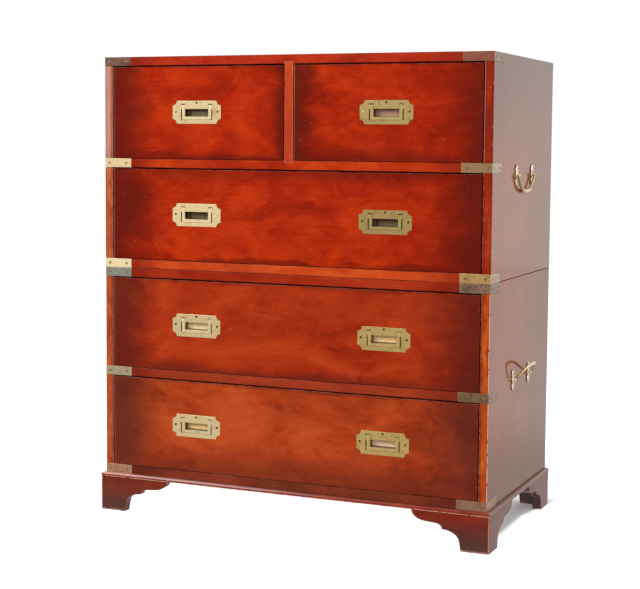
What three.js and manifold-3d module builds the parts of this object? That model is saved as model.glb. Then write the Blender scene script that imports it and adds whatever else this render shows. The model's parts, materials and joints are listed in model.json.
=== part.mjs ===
// A campaign chest of drawers: two stacking halves in brass-bound mahogany on ogee bracket feet.
// Millimetres, +Z up, the drawers face -Y. The origin is on the floor under the middle of the chest.

import * as THREE from 'three';
import { mergeVertices } from 'three/addons/utils/BufferGeometryUtils.js';
import Module from 'manifold-3d';

const wasm = await Module();
wasm.setup();

// Carcass, the same in both halves
const caseWidth = 800;
const caseDepth = 414;
const sideThickness = 17;
const boardThickness = 17.5;
const openingHeight = 181.5;
const rowsInHalf = 2;
const housingDepth = 6;
const dividerThickness = 17.5;
const dividerTongue = 5;
const backThickness = 8;
const backLap = 8;
const joinGap = 0.3;
const cutOverrun = 2;

// Pegs on the lower half that locate the upper half
const pegRadius = 8;
const pegTopRadius = 6.5;
const pegHeight = 10;
const pegInset = 70;
const pegGap = 0.6;
const pegSides = 16;

// Plinth moulding and bracket feet
const baseHeight = 76;
const plinthOverhang = 8;
const mouldingHeight = 7;
const mouldingFlat = 1.5;
const mouldingDrop = 3.2;
const plinthRailWidth = 62;
const footInset = 0.5;
const bracketThickness = 18;
const bracketLength = 150;
const legWidth = 54;
const legBatter = 2.5;
const toeHeight = 16;
const coveWidth = 33.5;
const coveHeight = 22;
const smallCoveWidth = 16;
const smallCoveHeight = 10.5;
const filletWidth = 14;
const filletRise = 1;
const backBracketLength = 104;
const glueBlockSize = 26;
const glueBlockClearance = 12;
const arcSteps = 5;

// Brass corner straps, let in flush
const strapThickness = 2;
const strapFrontLeg = 59;
const strapSideLeg = 58;

// Drawers
const frontRecess = 0.8;
const frontThickness = 20;
const frontSideGap = 2;
const frontTopGap = 2.6;
const frontBottomGap = 0.8;
const runGap = 0.3;
const drawerBackGap = 6;
const drawerSideThickness = 10;
const drawerSideDrop = 4;
const drawerBackThickness = 9;
const drawerBackDrop = 16;
const drawerBottomThickness = 7;
const drawerBottomRise = 8;
const grooveDepth = 6;
const dovetailLap = 5;
const tailCount = 4;
const tailRootShare = 0.48;
const tailTipShare = 0.72;

// Flush drawer handles: a scooped plate with a finger cup, and a bail hinged behind it
const plateWidth = 104.8;
const plateHeight = 44.5;
const plateThickness = 2.6;
const scoopRadius = 9.2;
const scoopSteps = 5;
const hingeSlotDrop = 6.2;
const bailDrop = 8.1;
const windowDrop = 16;
const windowWidth = 51.2;
const windowHeight = 14.6;
const bailBarHeight = 5.6;
const bailBarGap = 0.8;
const bailArmWidth = 6.1;
const bailShoulderWidth = 8.3;
const bailPivotDrop = 1.8;
const bailPivotDepth = 3;
const knuckleRadius = 1.9;
const bailPinRadius = 1;
const bailPinLength = 2.2;
const panWall = 1.2;
const cheekWidth = 3;
const cupDepth = 13;
const pinSides = 8;
const rightHandleSag = 2.7;

// Side handles: two spear-shaped backplates with forked ball posts, and a drop bail between them
const postSpacing = 108;
const upperHandleDrop = 15;
const lowerHandleRise = 13;
const spearHeight = 40.8;
const spearThickness = 2.4;
const leafWidth = 14;
const waistWidth = 7.5;
const bossRadius = 6;
const leafLevelShare = 0.52;
const leafSwellShare = 0.8;
const waistLevelShare = 0.33;
const spearCurveSteps = 3;
const pivotOffset = 5.6;
const postRadius = 3.4;
const ballRadius = 4.4;
const ballSides = 10;
const ballRings = 6;
const dropBailReach = 30.5;
const dropBailShoulder = 6.5;
const dropBailShoulderRound = 4;
const dropBailBarWidth = 52;
const dropBailCorner = 18;
const dropBailEndRadius = 2;
const dropBailMiddleRadius = 3.9;
const dropBailPinRadius = 1.3;
const dropBailPinCover = 1.2;
const dropBailEyeRadius = 2.2;
const dropBailBendSteps = 4;
const dropBailSides = 8;
const raisedAngle = 145;

// Places that follow from the sizes
const halfWidth = caseWidth / 2;
const innerHalf = halfWidth - sideThickness;
const plinthFront = -(caseDepth + plinthOverhang) / 2;
const caseFront = plinthFront + plinthOverhang;
const caseBack = caseFront + caseDepth;
const backFace = caseBack - backThickness;
const halfHeight = rowsInHalf * openingHeight + (rowsInHalf + 1) * boardThickness;
const lowerBase = baseHeight;
const upperBase = lowerBase + halfHeight + joinGap;
const rowPitch = openingHeight + boardThickness;
const boardLevels = Array.from({ length: rowsInHalf + 1 }, (_, row) => row * rowPitch);
const endLevels = [boardLevels[0], boardLevels[rowsInHalf]];
const handleColumn = (innerHalf + dividerThickness / 2) / 2;
const postEnds = [-postSpacing / 2, postSpacing / 2];
const dropBailPinHalf = ballRadius - dropBailPinCover;

const mahogany = new THREE.MeshStandardMaterial({ color: 0x8e2c14, roughness: 0.28, metalness: 0 });
const darkMahogany = new THREE.MeshStandardMaterial({ color: 0x6e3226, roughness: 0.35, metalness: 0 });
const drawerWood = new THREE.MeshStandardMaterial({ color: 0xa4713f, roughness: 0.7, metalness: 0 });
const brass = new THREE.MeshStandardMaterial({ color: 0xd8b66a, roughness: 0.3, metalness: 1 });

// Closed meshes go to solids and back, to be joined and cut

function toSolid(geometry) {
  const bare = geometry.clone();
  bare.deleteAttribute('normal');
  bare.deleteAttribute('uv');
  const merged = mergeVertices(bare);
  return new wasm.Manifold(new wasm.Mesh({
    numProp: 3,
    vertProperties: new Float32Array(merged.attributes.position.array),
    triVerts: new Uint32Array(merged.index.array),
  }));
}

function toGeometry(solid) {
  const mesh = solid.getMesh();
  const geometry = new THREE.BufferGeometry();
  geometry.setAttribute('position', new THREE.BufferAttribute(mesh.vertProperties, mesh.numProp));
  geometry.setIndex(new THREE.BufferAttribute(mesh.triVerts, 1));
  geometry.computeVertexNormals();
  return geometry;
}

function shape(parts, cuts = []) {
  let solid = toSolid(parts[0]);
  for (const part of parts.slice(1)) {
    solid = solid.add(toSolid(part));
  }
  for (const cutter of cuts) {
    solid = solid.subtract(toSolid(cutter));
  }
  return toGeometry(solid);
}

function common(first, second) {
  return toGeometry(toSolid(first).intersect(toSolid(second)));
}

function block([x0, x1], [y0, y1], [z0, z1]) {
  const box = new THREE.BoxGeometry(x1 - x0, y1 - y0, z1 - z0);
  return box.translate((x0 + x1) / 2, (y0 + y1) / 2, (z0 + z1) / 2);
}

// An outline in Y and Z, drawn out along X

function prismX(outline, [x0, x1], curveSegments = 1) {
  const prism = new THREE.ExtrudeGeometry(outline, { depth: x1 - x0, bevelEnabled: false, curveSegments });
  const turn = new THREE.Matrix4().makeBasis(
    new THREE.Vector3(0, 1, 0),
    new THREE.Vector3(0, 0, 1),
    new THREE.Vector3(1, 0, 0),
  );
  return prism.applyMatrix4(turn).translate(x0, 0, 0);
}

// An outline in X and Z, drawn out along Y

function prismY(outline, [y0, y1], curveSegments = 1) {
  const prism = new THREE.ExtrudeGeometry(outline, { depth: y1 - y0, bevelEnabled: false, curveSegments });
  return prism.rotateX(Math.PI / 2).translate(0, y1, 0);
}

function outlineOf(points) {
  return new THREE.Shape(points.map(([u, v]) => new THREE.Vector2(u, v)));
}

function pinX(radius, [x0, x1], y, z, sides) {
  const pin = new THREE.CylinderGeometry(radius, radius, x1 - x0, sides);
  return pin.rotateZ(Math.PI / 2).translate((x0 + x1) / 2, y, z);
}

function pinY(radius, [y0, y1], x, z, sides) {
  return new THREE.CylinderGeometry(radius, radius, y1 - y0, sides).translate(x, (y0 + y1) / 2, z);
}

// One mirror image turns the faces inside out, so each triangle's corners are swapped back

function mirror(geometry, signX, signY) {
  const image = geometry.clone().scale(signX, signY, 1);
  if (signX * signY < 0) {
    const corners = image.index.array;
    for (let i = 0; i < corners.length; i += 3) {
      [corners[i], corners[i + 1]] = [corners[i + 1], corners[i]];
    }
  }
  image.computeVertexNormals();
  return image;
}

function arc(centreU, centreV, radiusU, radiusV, fromAngle, toAngle, steps) {
  const points = [];
  for (let i = 0; i <= steps; i += 1) {
    const angle = fromAngle + ((toAngle - fromAngle) * i) / steps;
    points.push([centreU + radiusU * Math.cos(angle), centreV + radiusV * Math.sin(angle)]);
  }
  return points;
}

function piece(name, geometry, material, place = [0, 0, 0]) {
  const mesh = new THREE.Mesh(geometry, material);
  mesh.name = name;
  mesh.position.set(...place);
  return mesh;
}

// Case sides, with housings for the boards, a rebate for the back and inlets for the straps

function strapInlets(level) {
  const height = [level - joinGap, level + boardThickness + joinGap];
  const depth = strapThickness + joinGap;
  return [
    block([innerHalf - cutOverrun, halfWidth + cutOverrun], [caseFront - cutOverrun, caseFront + depth], height),
    block(
      [halfWidth - depth, halfWidth + cutOverrun],
      [caseFront - cutOverrun, caseFront + strapSideLeg + joinGap],
      height,
    ),
  ];
}

function caseSide(handleLevel) {
  const whole = block([innerHalf, halfWidth], [caseFront, caseBack], [0, halfHeight]);
  const housings = boardLevels.map((level) => {
    const atEnd = endLevels.includes(level) ? cutOverrun : 0;
    const floor = level === 0 ? -atEnd : level - joinGap;
    const ceiling = level === endLevels[1] ? level + boardThickness + atEnd : level + boardThickness + joinGap;
    const rear = endLevels.includes(level) ? caseBack + cutOverrun : backFace + cutOverrun;
    return block(
      [innerHalf - cutOverrun, innerHalf + housingDepth + joinGap],
      [caseFront - cutOverrun, rear],
      [floor, ceiling],
    );
  });
  const rebate = block(
    [innerHalf - cutOverrun, innerHalf + backLap + joinGap],
    [backFace - joinGap, caseBack + cutOverrun],
    [boardThickness - backLap - joinGap, halfHeight - boardThickness + backLap + joinGap],
  );
  const inlets = boardLevels.flatMap(strapInlets);
  const postYs = postEnds.map((end) => caseFront + caseDepth / 2 + end);
  const posts = postYs.flatMap((y) => backplate(y, handleLevel));
  const forks = postYs.flatMap((y) => forkCuts(y, handleLevel));
  return shape([whole, ...posts], [...housings, rebate, ...inlets, ...forks]);
}

// A spear-shaped backplate: a pointed leaf above and below a round boss, and a forked ball on a post

function spearOutline(y, z) {
  const tip = spearHeight / 2;
  const leaf = leafWidth / 2;
  const waist = waistWidth / 2;
  const outline = new THREE.Shape();
  outline.moveTo(y, z - tip);
  outline.quadraticCurveTo(y + leaf, z - tip * leafSwellShare, y + leaf, z - tip * leafLevelShare);
  outline.quadraticCurveTo(y + leaf, z - tip * waistLevelShare, y + waist, z - tip * waistLevelShare);
  outline.quadraticCurveTo(y + bossRadius, z, y + waist, z + tip * waistLevelShare);
  outline.quadraticCurveTo(y + leaf, z + tip * waistLevelShare, y + leaf, z + tip * leafLevelShare);
  outline.quadraticCurveTo(y + leaf, z + tip * leafSwellShare, y, z + tip);
  outline.quadraticCurveTo(y - leaf, z + tip * leafSwellShare, y - leaf, z + tip * leafLevelShare);
  outline.quadraticCurveTo(y - leaf, z + tip * waistLevelShare, y - waist, z + tip * waistLevelShare);
  outline.quadraticCurveTo(y - bossRadius, z, y - waist, z - tip * waistLevelShare);
  outline.quadraticCurveTo(y - leaf, z - tip * waistLevelShare, y - leaf, z - tip * leafLevelShare);
  outline.quadraticCurveTo(y - leaf, z - tip * leafSwellShare, y, z - tip);
  return outline;
}

function backplate(y, z) {
  const rooted = halfWidth - cutOverrun;
  const ball = new THREE.SphereGeometry(ballRadius, ballSides, ballRings);
  return [
    prismX(spearOutline(y, z), [rooted, halfWidth + spearThickness], spearCurveSteps),
    pinX(postRadius, [rooted, halfWidth + pivotOffset], y, z, dropBailSides),
    ball.translate(halfWidth + pivotOffset, y, z),
  ];
}

function forkCuts(y, z) {
  const pivot = halfWidth + pivotOffset;
  const slot = dropBailEyeRadius + joinGap;
  const past = ballRadius + cutOverrun;
  const boreHalf = dropBailPinHalf + joinGap;
  return [
    block([pivot - slot, pivot + past], [y - slot, y + slot], [z - past, z + past]),
    pinY(dropBailPinRadius + joinGap, [y - boreHalf, y + boreHalf], pivot, z, dropBailSides),
  ];
}

// Boards that tie the sides together and carry the drawers

function board(level, isEnd) {
  const reach = innerHalf + housingDepth;
  const rear = isEnd ? caseBack : backFace - joinGap;
  const whole = block([-reach, reach], [caseFront, rear], [level, level + boardThickness]);
  const cuts = [-1, 1].map((hand) => {
    const inner = halfWidth - strapFrontLeg - joinGap;
    const ends = hand > 0 ? [inner, reach + cutOverrun] : [-reach - cutOverrun, -inner];
    return block(
      ends,
      [caseFront - cutOverrun, caseFront + strapThickness + joinGap],
      [level - cutOverrun, level + boardThickness + cutOverrun],
    );
  });
  return { whole, cuts, reach };
}

function backRebate(level, reach) {
  const innerEdge = level === endLevels[0]
    ? [level + boardThickness - backLap - joinGap, level + boardThickness + cutOverrun]
    : [level - cutOverrun, level + backLap + joinGap];
  return block([-reach - cutOverrun, reach + cutOverrun], [backFace - joinGap, caseBack + cutOverrun], innerEdge);
}

function dividerHousing([z0, z1]) {
  const half = dividerThickness / 2 + joinGap;
  return block([-half, half], [caseFront - cutOverrun, backFace + cutOverrun], [z0, z1]);
}

function pegs(radius, topRadius, [z0, z1]) {
  return [-1, 1].flatMap((hand) => [-1, 1].map((end) => {
    const peg = new THREE.CylinderGeometry(topRadius, radius, z1 - z0, pegSides).rotateX(Math.PI / 2);
    const y = (caseFront + caseBack) / 2 + end * (caseDepth / 2 - pegInset);
    return peg.translate(hand * (halfWidth - pegInset), y, (z0 + z1) / 2);
  }));
}

function endBoard(level, extraParts = [], extraCuts = []) {
  const { whole, cuts, reach } = board(level, true);
  return shape([whole, ...extraParts], [...cuts, backRebate(level, reach), ...extraCuts]);
}

function railBoard(extraCuts = []) {
  const { whole, cuts } = board(boardLevels[1], false);
  return shape([whole], [...cuts, ...extraCuts]);
}

function backPanel() {
  const reach = innerHalf + backLap;
  const foot = boardThickness - backLap;
  return block([-reach, reach], [backFace, caseBack], [foot, halfHeight - foot]);
}

function divider() {
  const half = dividerThickness / 2;
  const foot = boardLevels[1] + boardThickness - dividerTongue;
  const head = boardLevels[2] + dividerTongue;
  return block([-half, half], [caseFront, backFace - joinGap], [foot, head]);
}

function strap(level) {
  const height = [level, level + boardThickness];
  return shape([
    block([halfWidth - strapFrontLeg, halfWidth], [caseFront, caseFront + strapThickness], height),
    block([halfWidth - strapThickness, halfWidth], [caseFront, caseFront + strapSideLeg], height),
  ]);
}

// The plinth: a moulded frame, mitred where the front moulding meets the sides

function mouldingEdge(outward, level) {
  const edge = arc(
    outward - plinthOverhang + mouldingFlat,
    level - mouldingDrop,
    plinthOverhang - mouldingFlat,
    mouldingDrop,
    0,
    Math.PI / 2,
    arcSteps,
  );
  return [[outward, baseHeight - mouldingHeight], ...edge];
}

function plinth() {
  const level = baseHeight - joinGap;
  const floor = baseHeight - mouldingHeight;
  const edgeX = halfWidth + plinthOverhang;
  const side = mouldingEdge(edgeX, level);
  const across = outlineOf([...side, ...side.map(([x, z]) => [-x, z]).reverse()]);
  const front = mouldingEdge(-plinthFront, level).map(([y, z]) => [-y, z]).reverse();
  const along = outlineOf([[caseBack, floor], [caseBack, level], ...front]);
  const slab = common(
    prismY(across, [plinthFront - cutOverrun, caseBack + cutOverrun]),
    prismX(along, [-edgeX - cutOverrun, edgeX + cutOverrun]),
  );
  const hollow = block(
    [-edgeX + plinthRailWidth, edgeX - plinthRailWidth],
    [plinthFront + plinthRailWidth, caseBack - plinthRailWidth],
    [floor - cutOverrun, level + cutOverrun],
  );
  return shape([slab], [hollow]);
}

// Bracket feet: an ogee bracket on each show face, mitred at the corner, with a glue block inside

const footTop = baseHeight - mouldingHeight - joinGap;

function ogeeBracket() {
  const cove = arc(
    legWidth + legBatter + coveWidth,
    toeHeight,
    coveWidth,
    coveHeight,
    Math.PI,
    Math.PI / 2,
    arcSteps,
  );
  const cusp = legWidth + legBatter + coveWidth;
  const smallCove = arc(
    cusp + smallCoveWidth,
    toeHeight + coveHeight,
    smallCoveWidth,
    smallCoveHeight,
    Math.PI,
    Math.PI / 2,
    arcSteps,
  ).slice(1);
  const filletStart = cusp + smallCoveWidth;
  const filletLevel = toeHeight + coveHeight + smallCoveHeight + filletRise;
  const ovolo = arc(
    filletStart + filletWidth,
    footTop,
    bracketLength - filletStart - filletWidth,
    footTop - filletLevel,
    -Math.PI / 2,
    0,
    arcSteps,
  );
  return [[0, 0], [legWidth, 0], ...cove, ...smallCove, ...ovolo, [0, footTop]];
}

function plainBracket() {
  const start = legWidth + legBatter;
  const hollow = arc(
    backBracketLength,
    toeHeight,
    backBracketLength - start,
    footTop - toeHeight,
    Math.PI,
    Math.PI / 2,
    arcSteps,
  );
  return [[0, 0], [legWidth, 0], ...hollow, [0, footTop]];
}

function foot(inner) {
  const cornerX = -halfWidth - plinthOverhang + footInset;
  const cornerY = plinthFront + footInset;
  const face = outlineOf(inner.map(([u, z]) => [cornerX + u, z]));
  const side = outlineOf(ogeeBracket().map(([u, z]) => [cornerY + u, z]));
  const blockStart = bracketThickness - cutOverrun;
  const blockEnd = bracketThickness + glueBlockSize;
  return shape([
    prismY(face, [cornerY, cornerY + bracketThickness]),
    prismX(side, [cornerX, cornerX + bracketThickness]),
    block(
      [cornerX + blockStart, cornerX + blockEnd],
      [cornerY + blockStart, cornerY + blockEnd],
      [glueBlockClearance, footTop],
    ),
  ]);
}

// Drawers: the front takes the tails of the sides in lapped sockets

function tailEdge(height, grow) {
  const pitch = height / tailCount;
  const points = [];
  for (let tail = 0; tail < tailCount; tail += 1) {
    const middle = pitch * (tail + 1 / 2);
    const root = (pitch * tailRootShare) / 2 + grow;
    const tip = (pitch * tailTipShare) / 2 + grow;
    const shoulder = frontThickness + joinGap;
    const end = dovetailLap + joinGap - grow;
    points.push([shoulder, middle - root], [end, middle - tip], [end, middle + tip], [shoulder, middle + root]);
  }
  return points;
}

function tailSockets(height, [x0, x1]) {
  const corners = tailEdge(height, joinGap);
  const sockets = [];
  for (let i = 0; i < corners.length; i += 4) {
    const socket = outlineOf(corners.slice(i, i + 4).map(([y, z]) => [y, z + runGap]).reverse());
    sockets.push(prismX(socket, [x0, x1]));
  }
  return sockets;
}

const frontHeight = openingHeight - frontTopGap - frontBottomGap;
const drawerSideHeight = frontBottomGap + frontHeight - drawerSideDrop - runGap;
const drawerDepth = caseDepth - frontRecess - backThickness - drawerBackGap;

function drawerFront(width, handles) {
  const half = width / 2;
  const sideEnd = half - drawerSideThickness - joinGap;
  const bottom = runGap + drawerBottomRise;
  const groove = block(
    [-sideEnd - cutOverrun, sideEnd + cutOverrun],
    [frontThickness - grooveDepth, frontThickness + cutOverrun],
    [bottom - joinGap, bottom + drawerBottomThickness + joinGap],
  );
  return shape(
    [block([-half, half], [0, frontThickness], [frontBottomGap, frontBottomGap + frontHeight])],
    [
      ...tailSockets(drawerSideHeight, [sideEnd, half + cutOverrun]),
      ...tailSockets(drawerSideHeight, [-half - cutOverrun, -sideEnd]),
      groove,
      ...handles.flatMap(([, x, z]) => handlePocket().map((cutter) => cutter.translate(x, 0, z))),
    ],
  );
}

function drawerBox(width) {
  const half = width / 2;
  const shoulder = frontThickness + joinGap;
  const side = outlineOf([
    [shoulder, 0],
    [drawerDepth, 0],
    [drawerDepth, drawerSideHeight],
    [shoulder, drawerSideHeight],
    ...tailEdge(drawerSideHeight, 0).reverse(),
  ].map(([y, z]) => [y, z + runGap]));
  const innerSide = half - drawerSideThickness;
  const bottom = runGap + drawerBottomRise;
  const seat = drawerSideThickness - grooveDepth;
  return shape([
    prismX(side, [innerSide, half]),
    prismX(side, [-half, -innerSide]),
    block(
      [-half + seat, half - seat],
      [drawerDepth - drawerBackThickness, drawerDepth],
      [bottom, runGap + drawerSideHeight - drawerBackDrop],
    ),
    block(
      [-innerSide, innerSide],
      [frontThickness - grooveDepth + joinGap, drawerDepth],
      [bottom, bottom + drawerBottomThickness],
    ),
  ]);
}

// Flush handle, drawn about the middle of its plate with the show face at zero and the wood behind it

const plateTop = plateHeight / 2;
const windowHalf = windowWidth / 2;
const shoulderHalf = windowHalf + bailShoulderWidth;
const armHalf = windowHalf + bailArmWidth;
const windowFoot = windowDrop + windowHeight;
const bailFoot = windowFoot + bailBarHeight;
const recessHalf = shoulderHalf + joinGap;
const recessFoot = bailFoot + bailBarGap;
const recessDepth = plateThickness + joinGap;
const pivotDrop = bailDrop + bailPivotDrop;
const pocketDepth = bailPivotDepth + knuckleRadius + joinGap;
const panHalf = recessHalf + cheekWidth;
const panDepth = pocketDepth + panWall;
const pocketFoot = pivotDrop + knuckleRadius + joinGap;

function scoopedOutline(grow) {
  const halfX = plateWidth / 2 + grow;
  const halfZ = plateHeight / 2 + grow;
  const corners = [[1, -1], [1, 1], [-1, 1], [-1, -1]];
  const starts = [Math.PI, -Math.PI / 2, 0, Math.PI / 2];
  return outlineOf(corners.flatMap(([signX, signZ], i) => arc(
    signX * halfX,
    signZ * halfZ,
    scoopRadius,
    scoopRadius,
    starts[i],
    starts[i] - Math.PI / 2,
    scoopSteps,
  )));
}

function handlePocket() {
  const rim = joinGap;
  return [
    prismY(scoopedOutline(rim), [-cutOverrun, plateThickness + rim]),
    block(
      [-panHalf - rim, panHalf + rim],
      [-cutOverrun, panDepth + rim],
      [plateTop - recessFoot - panWall - rim, plateTop - hingeSlotDrop + panWall + rim],
    ),
    block(
      [-windowHalf - panWall - rim, windowHalf + panWall + rim],
      [-cutOverrun, cupDepth + panWall + rim],
      [plateTop - windowFoot - panWall - rim, plateTop - windowDrop + panWall + rim],
    ),
  ];
}

function handlePlate() {
  const front = prismY(scoopedOutline(0), [0, plateThickness]);
  const pan = block(
    [-panHalf, panHalf],
    [0, recessDepth + panWall],
    [plateTop - recessFoot - panWall, plateTop - hingeSlotDrop + panWall],
  );
  const hingeBlock = block(
    [-panHalf, panHalf],
    [0, panDepth],
    [plateTop - pocketFoot - panWall, plateTop - hingeSlotDrop + panWall],
  );
  const cup = block(
    [-windowHalf - panWall, windowHalf + panWall],
    [0, cupDepth + panWall],
    [plateTop - windowFoot - panWall, plateTop - windowDrop + panWall],
  );
  const tongueHalf = windowHalf - joinGap;
  const recess = outlineOf([
    [-recessHalf, plateTop - recessFoot],
    [recessHalf, plateTop - recessFoot],
    [recessHalf, plateTop - hingeSlotDrop],
    [tongueHalf, plateTop - hingeSlotDrop],
    [tongueHalf, plateTop - windowDrop],
    [-tongueHalf, plateTop - windowDrop],
    [-tongueHalf, plateTop - hingeSlotDrop],
    [-recessHalf, plateTop - hingeSlotDrop],
  ]);
  const hollow = block(
    [-windowHalf, windowHalf],
    [-cutOverrun, cupDepth],
    [plateTop - windowFoot, plateTop - windowDrop],
  );
  const pockets = [[tongueHalf, recessHalf], [-recessHalf, -tongueHalf]].map((across) => block(
    across,
    [-cutOverrun, pocketDepth],
    [plateTop - pocketFoot, plateTop - hingeSlotDrop],
  ));
  const pinReach = shoulderHalf + bailPinLength + joinGap;
  const bore = pinX(
    bailPinRadius + joinGap,
    [-pinReach, pinReach],
    bailPivotDepth,
    plateTop - pivotDrop,
    pinSides,
  );
  const tongueCore = block(
    [-tongueHalf, tongueHalf],
    [0, panDepth],
    [plateTop - windowDrop, plateTop - hingeSlotDrop],
  );
  const shell = shape(
    [front, pan, hingeBlock, cup],
    [prismY(recess, [-cutOverrun, recessDepth]), hollow, ...pockets, bore],
  );
  return shape([shell, tongueCore]);
}

function handleBail() {
  const top = plateTop - bailDrop;
  const shoulderFoot = plateTop - windowDrop;
  const windowTop = plateTop - bailDrop;
  const half = [
    [armHalf, plateTop - bailFoot],
    [armHalf, shoulderFoot],
    [shoulderHalf, shoulderFoot],
    [shoulderHalf, top],
    [windowHalf, windowTop],
    [windowHalf, plateTop - windowFoot],
  ];
  const outline = outlineOf([...half, ...half.map(([x, z]) => [-x, z]).reverse()]);
  const knuckles = [[windowHalf, shoulderHalf], [-shoulderHalf, -windowHalf]].map((across) => pinX(
    knuckleRadius,
    across,
    bailPivotDepth,
    plateTop - pivotDrop,
    pinSides,
  ));
  const pinEnd = shoulderHalf + bailPinLength;
  const pins = [[windowHalf, pinEnd], [-pinEnd, -windowHalf]].map((across) => pinX(
    bailPinRadius,
    across,
    bailPivotDepth,
    plateTop - pivotDrop,
    pinSides,
  ));
  return shape([prismY(outline, [0, plateThickness]), ...knuckles, ...pins]);
}

// Side drop bail: a cast rod, thickest in the middle, with an eye and a pin at each end for the forks

function roundedPath(knots, roundings) {
  const path = new THREE.CurvePath();
  let start = knots[0];
  roundings.forEach((rounding, i) => {
    const bend = knots[i + 1];
    const enter = knots[i].clone().sub(bend).setLength(rounding).add(bend);
    const leave = knots[i + 2].clone().sub(bend).setLength(rounding).add(bend);
    path.add(new THREE.LineCurve3(start, enter));
    path.add(new THREE.QuadraticBezierCurve3(enter, bend, leave));
    start = leave;
  });
  path.add(new THREE.LineCurve3(start, knots.at(-1)));
  return path;
}

function stationsOf(path) {
  const stations = path.curves.flatMap((curve) => {
    const steps = curve.isLineCurve3 ? 1 : dropBailBendSteps;
    return Array.from({ length: steps }, (_, i) => ({
      centre: curve.getPoint(i / steps),
      tangent: curve.getTangent(i / steps),
    }));
  });
  const last = path.curves.at(-1);
  return [...stations, { centre: last.getPoint(1), tangent: last.getTangent(1) }];
}

function taperedRod(stations, radiusAt) {
  const positions = [];
  const corners = [];
  const across = new THREE.Vector3(1, 0, 0);
  for (const { centre, tangent } of stations) {
    const side = new THREE.Vector3().crossVectors(tangent, across);
    const radius = radiusAt(centre.y);
    for (let k = 0; k < dropBailSides; k += 1) {
      const angle = (2 * Math.PI * k) / dropBailSides;
      const point = centre.clone().addScaledVector(across, radius * Math.cos(angle));
      point.addScaledVector(side, radius * Math.sin(angle));
      positions.push(...point.toArray());
    }
  }
  for (let i = 0; i < stations.length - 1; i += 1) {
    for (let k = 0; k < dropBailSides; k += 1) {
      const next = (k + 1) % dropBailSides;
      const [a, b] = [i * dropBailSides + k, i * dropBailSides + next];
      const [c, d] = [a + dropBailSides, b + dropBailSides];
      corners.push(a, b, c, b, d, c);
    }
  }
  const last = (stations.length - 1) * dropBailSides;
  for (let k = 1; k < dropBailSides - 1; k += 1) {
    corners.push(0, k + 1, k, last, last + k, last + k + 1);
  }
  const rod = new THREE.BufferGeometry();
  rod.setAttribute('position', new THREE.Float32BufferAttribute(positions, 3));
  rod.setIndex(corners);
  return rod;
}

function dropBail() {
  const half = [
    [postSpacing / 2, 0],
    [postSpacing / 2, -dropBailShoulder],
    [dropBailBarWidth / 2, -dropBailReach],
  ];
  const knots = [...half.map(([y, z]) => [-y, z]), ...half.reverse()];
  const path = roundedPath(
    knots.map(([y, z]) => new THREE.Vector3(0, y, z)),
    [dropBailShoulderRound, dropBailCorner, dropBailCorner, dropBailShoulderRound],
  );
  const swell = dropBailMiddleRadius - dropBailEndRadius;
  const taper = (y) => dropBailEndRadius + swell * Math.cos((Math.PI * y) / postSpacing) ** 2;
  const ends = postEnds.flatMap((y) => [
    new THREE.SphereGeometry(dropBailEyeRadius, dropBailSides, dropBailSides / 2).translate(0, y, 0),
    pinY(dropBailPinRadius, [y - dropBailPinHalf, y + dropBailPinHalf], 0, 0, dropBailSides),
  ]);
  return shape([taperedRod(stationsOf(path), taper), ...ends]);
}

// Assembly: each half is a group at its own height, and each drawer a group in its half

const hands = [['left', -1], ['right', 1]];

function addStraps(half, prefix) {
  const places = ['bottom', 'rail', 'top'];
  boardLevels.forEach((level, i) => {
    for (const [hand, sign] of hands) {
      half.add(piece(`${prefix}_${places[i]}_${hand}_strap`, mirror(strap(level), sign, 1), brass));
    }
  });
}

function addSides(half, prefix, handleLevel, angle) {
  for (const [hand, sign] of hands) {
    half.add(piece(`${prefix}_${hand}_side`, mirror(caseSide(handleLevel), sign, 1), mahogany));
    const bail = piece(`${prefix}_${hand}_drop_bail`, mirror(dropBail(), sign, 1), brass, [
      sign * (halfWidth + pivotOffset),
      caseFront + caseDepth / 2,
      handleLevel,
    ]);
    bail.rotation.y = -sign * THREE.MathUtils.degToRad(angle);
    half.add(bail);
  }
}

function addDrawer(half, name, centre, width, level, handles) {
  const drawer = new THREE.Group();
  drawer.position.set(centre, caseFront + frontRecess, level);
  const frontWidth = width - 2 * frontSideGap;
  drawer.add(piece(`${name}_front`, drawerFront(frontWidth, handles), mahogany));
  drawer.add(piece(`${name}_box`, drawerBox(frontWidth), drawerWood));
  for (const [label, x, z] of handles) {
    const place = [x, 0, z];
    drawer.add(piece(`${name}${label}_plate`, handlePlate(), brass, place));
    drawer.add(piece(`${name}${label}_bail`, handleBail(), brass, place));
  }
  half.add(drawer);
}

const chest = new THREE.Group();

const lower = new THREE.Group();
lower.position.z = lowerBase;
addSides(lower, 'lower', halfHeight / 2 + lowerHandleRise, raisedAngle);
const pegRise = [endLevels[1] + boardThickness - pegHeight, endLevels[1] + boardThickness + pegHeight];
lower.add(piece('lower_bottom', endBoard(endLevels[0]), mahogany));
lower.add(piece('lower_rail', railBoard(), mahogany));
lower.add(piece('lower_top', endBoard(endLevels[1], pegs(pegRadius, pegTopRadius, pegRise)), mahogany));
lower.add(piece('lower_back', backPanel(), darkMahogany));
addStraps(lower, 'lower');

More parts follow.
